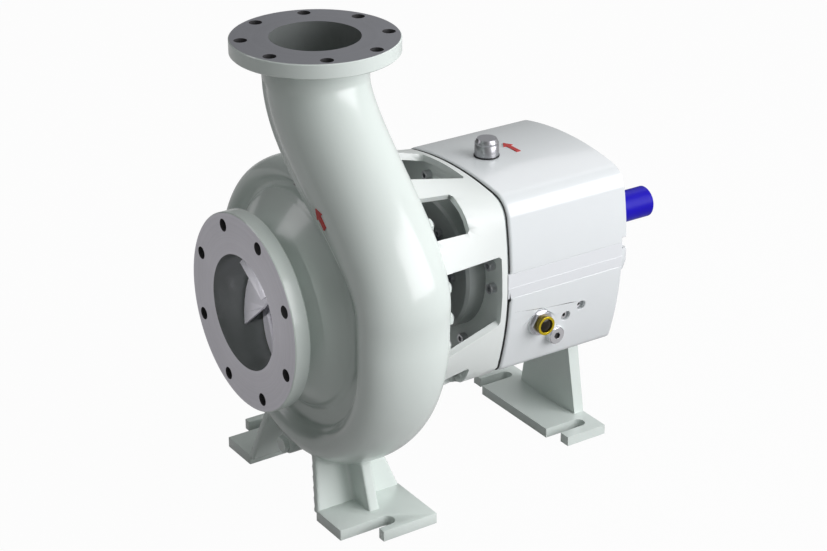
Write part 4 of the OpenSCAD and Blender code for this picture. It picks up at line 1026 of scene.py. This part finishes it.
@dataclass
class Studio:
    """Camera, lamps, floor and world."""

    target: Point = (340.78, 0.0, -20.07)
    azimuth: float = -33.80
    elevation: float = 25.10
    roll: float = 0.10
    distance: float = 3698.4
    lens: float = 92.30
    floor_z: float = -367.0
    bright_side: Point = (0.76, -0.58, 0.24)
    dim: float = 0.05
    lit: float = 0.8
    mouth_power: float = 220.0
    lamp_tint: Point = (1.0, 0.965, 1.0)
    floor_half: float = 9000.0
    floor_gap: float = 1.0

    def camera(self) -> None:
        """Places the camera as it was fitted to the flange holes."""
        a, e, r = (math.radians(v) for v in (self.azimuth, self.elevation, self.roll))
        back = Vector((math.sin(a) * math.cos(e), -math.cos(a) * math.cos(e), math.sin(e)))
        right = (-back).cross(Vector((0, 0, 1))).normalized()
        up = right.cross(-back)
        right, up = math.cos(r) * right + math.sin(r) * up, math.cos(r) * up - math.sin(r) * right
        data = bpy.data.cameras.new("camera")
        data.lens = self.lens
        data.sensor_width = 36.0
        data.clip_end = 50.0
        view = bpy.data.objects.new("camera", data)
        bpy.context.scene.collection.objects.link(view)
        turn = Matrix((right, up, back)).transposed().to_4x4()
        place = (Vector(self.target) + back * self.distance) * MM
        view.matrix_world = Matrix.Translation(place) @ turn
        bpy.context.scene.camera = view

    def hang(self, data: bpy.types.Light, place: Point, aim: Point) -> None:
        """Puts a light in its place and turns it to a point, in metres."""
        made = bpy.data.objects.new(data.name, data)
        bpy.context.scene.collection.objects.link(made)
        made.location = place
        made.rotation_euler = (Vector(aim) - Vector(place)).to_track_quat("-Z", "Y").to_euler()

    def lamp(self, name: str, place: Point, size: tuple[float, float], power: float,
             aim: Point = (0.35, 0, 0.0)) -> None:
        """Adds one soft panel that faces a point, in metres."""
        data = bpy.data.lights.new(name, "AREA")
        data.shape = "RECTANGLE"
        data.size, data.size_y = size
        data.energy = power
        data.color = self.lamp_tint
        self.hang(data, place, aim)

    def mouth_lamp(self) -> None:
        """A narrow soft beam into the suction branch, so that the blades show."""
        data = bpy.data.lights.new("mouth", "SPOT")
        data.energy = self.mouth_power
        data.spot_size = math.radians(4.6)
        data.spot_blend = 1.0
        data.shadow_soft_size = 0.05
        self.hang(data, (-2.6, -1.5, 1.1), (0.06, 0, 0))

    def floor(self) -> None:
        """A pale floor that shows white but keeps a soft shadow."""
        half, z = self.floor_half, self.floor_z - self.floor_gap
        made = new_object("floor", [(-half, -half, z), (half, -half, z), (half, half, z), (-half, half, z)],
                          [(0, 1, 2, 3)])
        material = bpy.data.materials.new("studio_floor")
        material.use_nodes = True
        tree = Tree(material.node_tree)
        material.node_tree.nodes.clear()
        rays = tree.add("ShaderNodeLightPath")
        seen = (tree.value(rays, "Is Camera Ray") * 0.97 + tree.value(rays, "Is Glossy Ray") * 0.35).clamp(0, 1)
        plain = tree.add("ShaderNodeBsdfDiffuse", None, {"Color": (0.32, 0.32, 0.32, 1)})
        bright = tree.add("ShaderNodeEmission", None, {"Color": (1, 1, 1, 1), "Strength": 1.0})
        mixed = tree.add("ShaderNodeMixShader", None, {0: seen, 1: plain.outputs[0], 2: bright.outputs[0]})
        tree.add("ShaderNodeOutputMaterial", None, {0: mixed.outputs[0]})
        made.data.materials.append(material)

    def world(self) -> None:
        """A world that shows white to the camera and lights the object softly."""
        world = bpy.data.worlds.new("studio")
        bpy.context.scene.world = world
        world.use_nodes = True
        tree = Tree(world.node_tree)
        world.node_tree.nodes.clear()
        rays = tree.add("ShaderNodeLightPath")
        seen = (tree.value(rays, "Is Camera Ray") + tree.value(rays, "Is Transmission Ray")).clamp(0, 1)
        part = tree.add("ShaderNodeSeparateXYZ", None, {0: tree.add("ShaderNodeTexCoord").outputs["Generated"]})
        first, *others = (tree.value(part, k) * self.bright_side[k] for k in range(3))
        side = sum(others, first)
        level = ((side + 0.6) / 1.6).clamp(0, 1).eased()
        soft = tree.add("ShaderNodeBackground", None, {"Color": (1.0, 1.0, 1.0, 1),
                                                       "Strength": level * (self.lit - self.dim) + self.dim})
        white = tree.add("ShaderNodeBackground", None, {"Color": (1, 1, 1, 1), "Strength": 1.0})
        mixed = tree.add("ShaderNodeMixShader", None, {0: seen, 1: soft.outputs[0], 2: white.outputs[0]})
        tree.add("ShaderNodeOutputWorld", None, {0: mixed.outputs[0]})

    def build(self) -> None:
        """Sets up the studio."""
        self.camera()
        self.floor()
        self.world()
        self.lamp("key", (2.0, -2.5, 1.35), (2.6, 2.6), 88)
        self.mouth_lamp()
        self.lamp("top", (2.0, 1.0, 2.0), (1.3, 1.3), 7)
        self.lamp("back_left", (-1.9, 1.7, 1.9), (1.2, 1.4), 12)
        bpy.context.scene.view_settings.view_transform = "Standard"


def dress_hidden_nodes(record: dict) -> None:
    """Gives every CAD node that still shows its slot's finish."""
    slots = {part["node"]: part["material_slot"] for part in record["subparts"]}
    for name, node in FRAME["nodes"].items():
        material = SLOT_FINISH[slots[name]].build()
        for place in node.material_slots:
            place.material = material


def main() -> None:
    """Builds every sub-assembly in order."""
    logging.basicConfig(level=logging.INFO, format="%(name)s: %(message)s")
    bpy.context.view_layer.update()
    for builder in (VoluteCasing(), CasingBolting(), Housing(), Fittings(), Studio()):
        builder.build()
        LOG.info("built %s", type(builder).__name__)
    dress_hidden_nodes(FRAME["record"])


if __name__ == "__main__":
    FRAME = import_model()
    main()
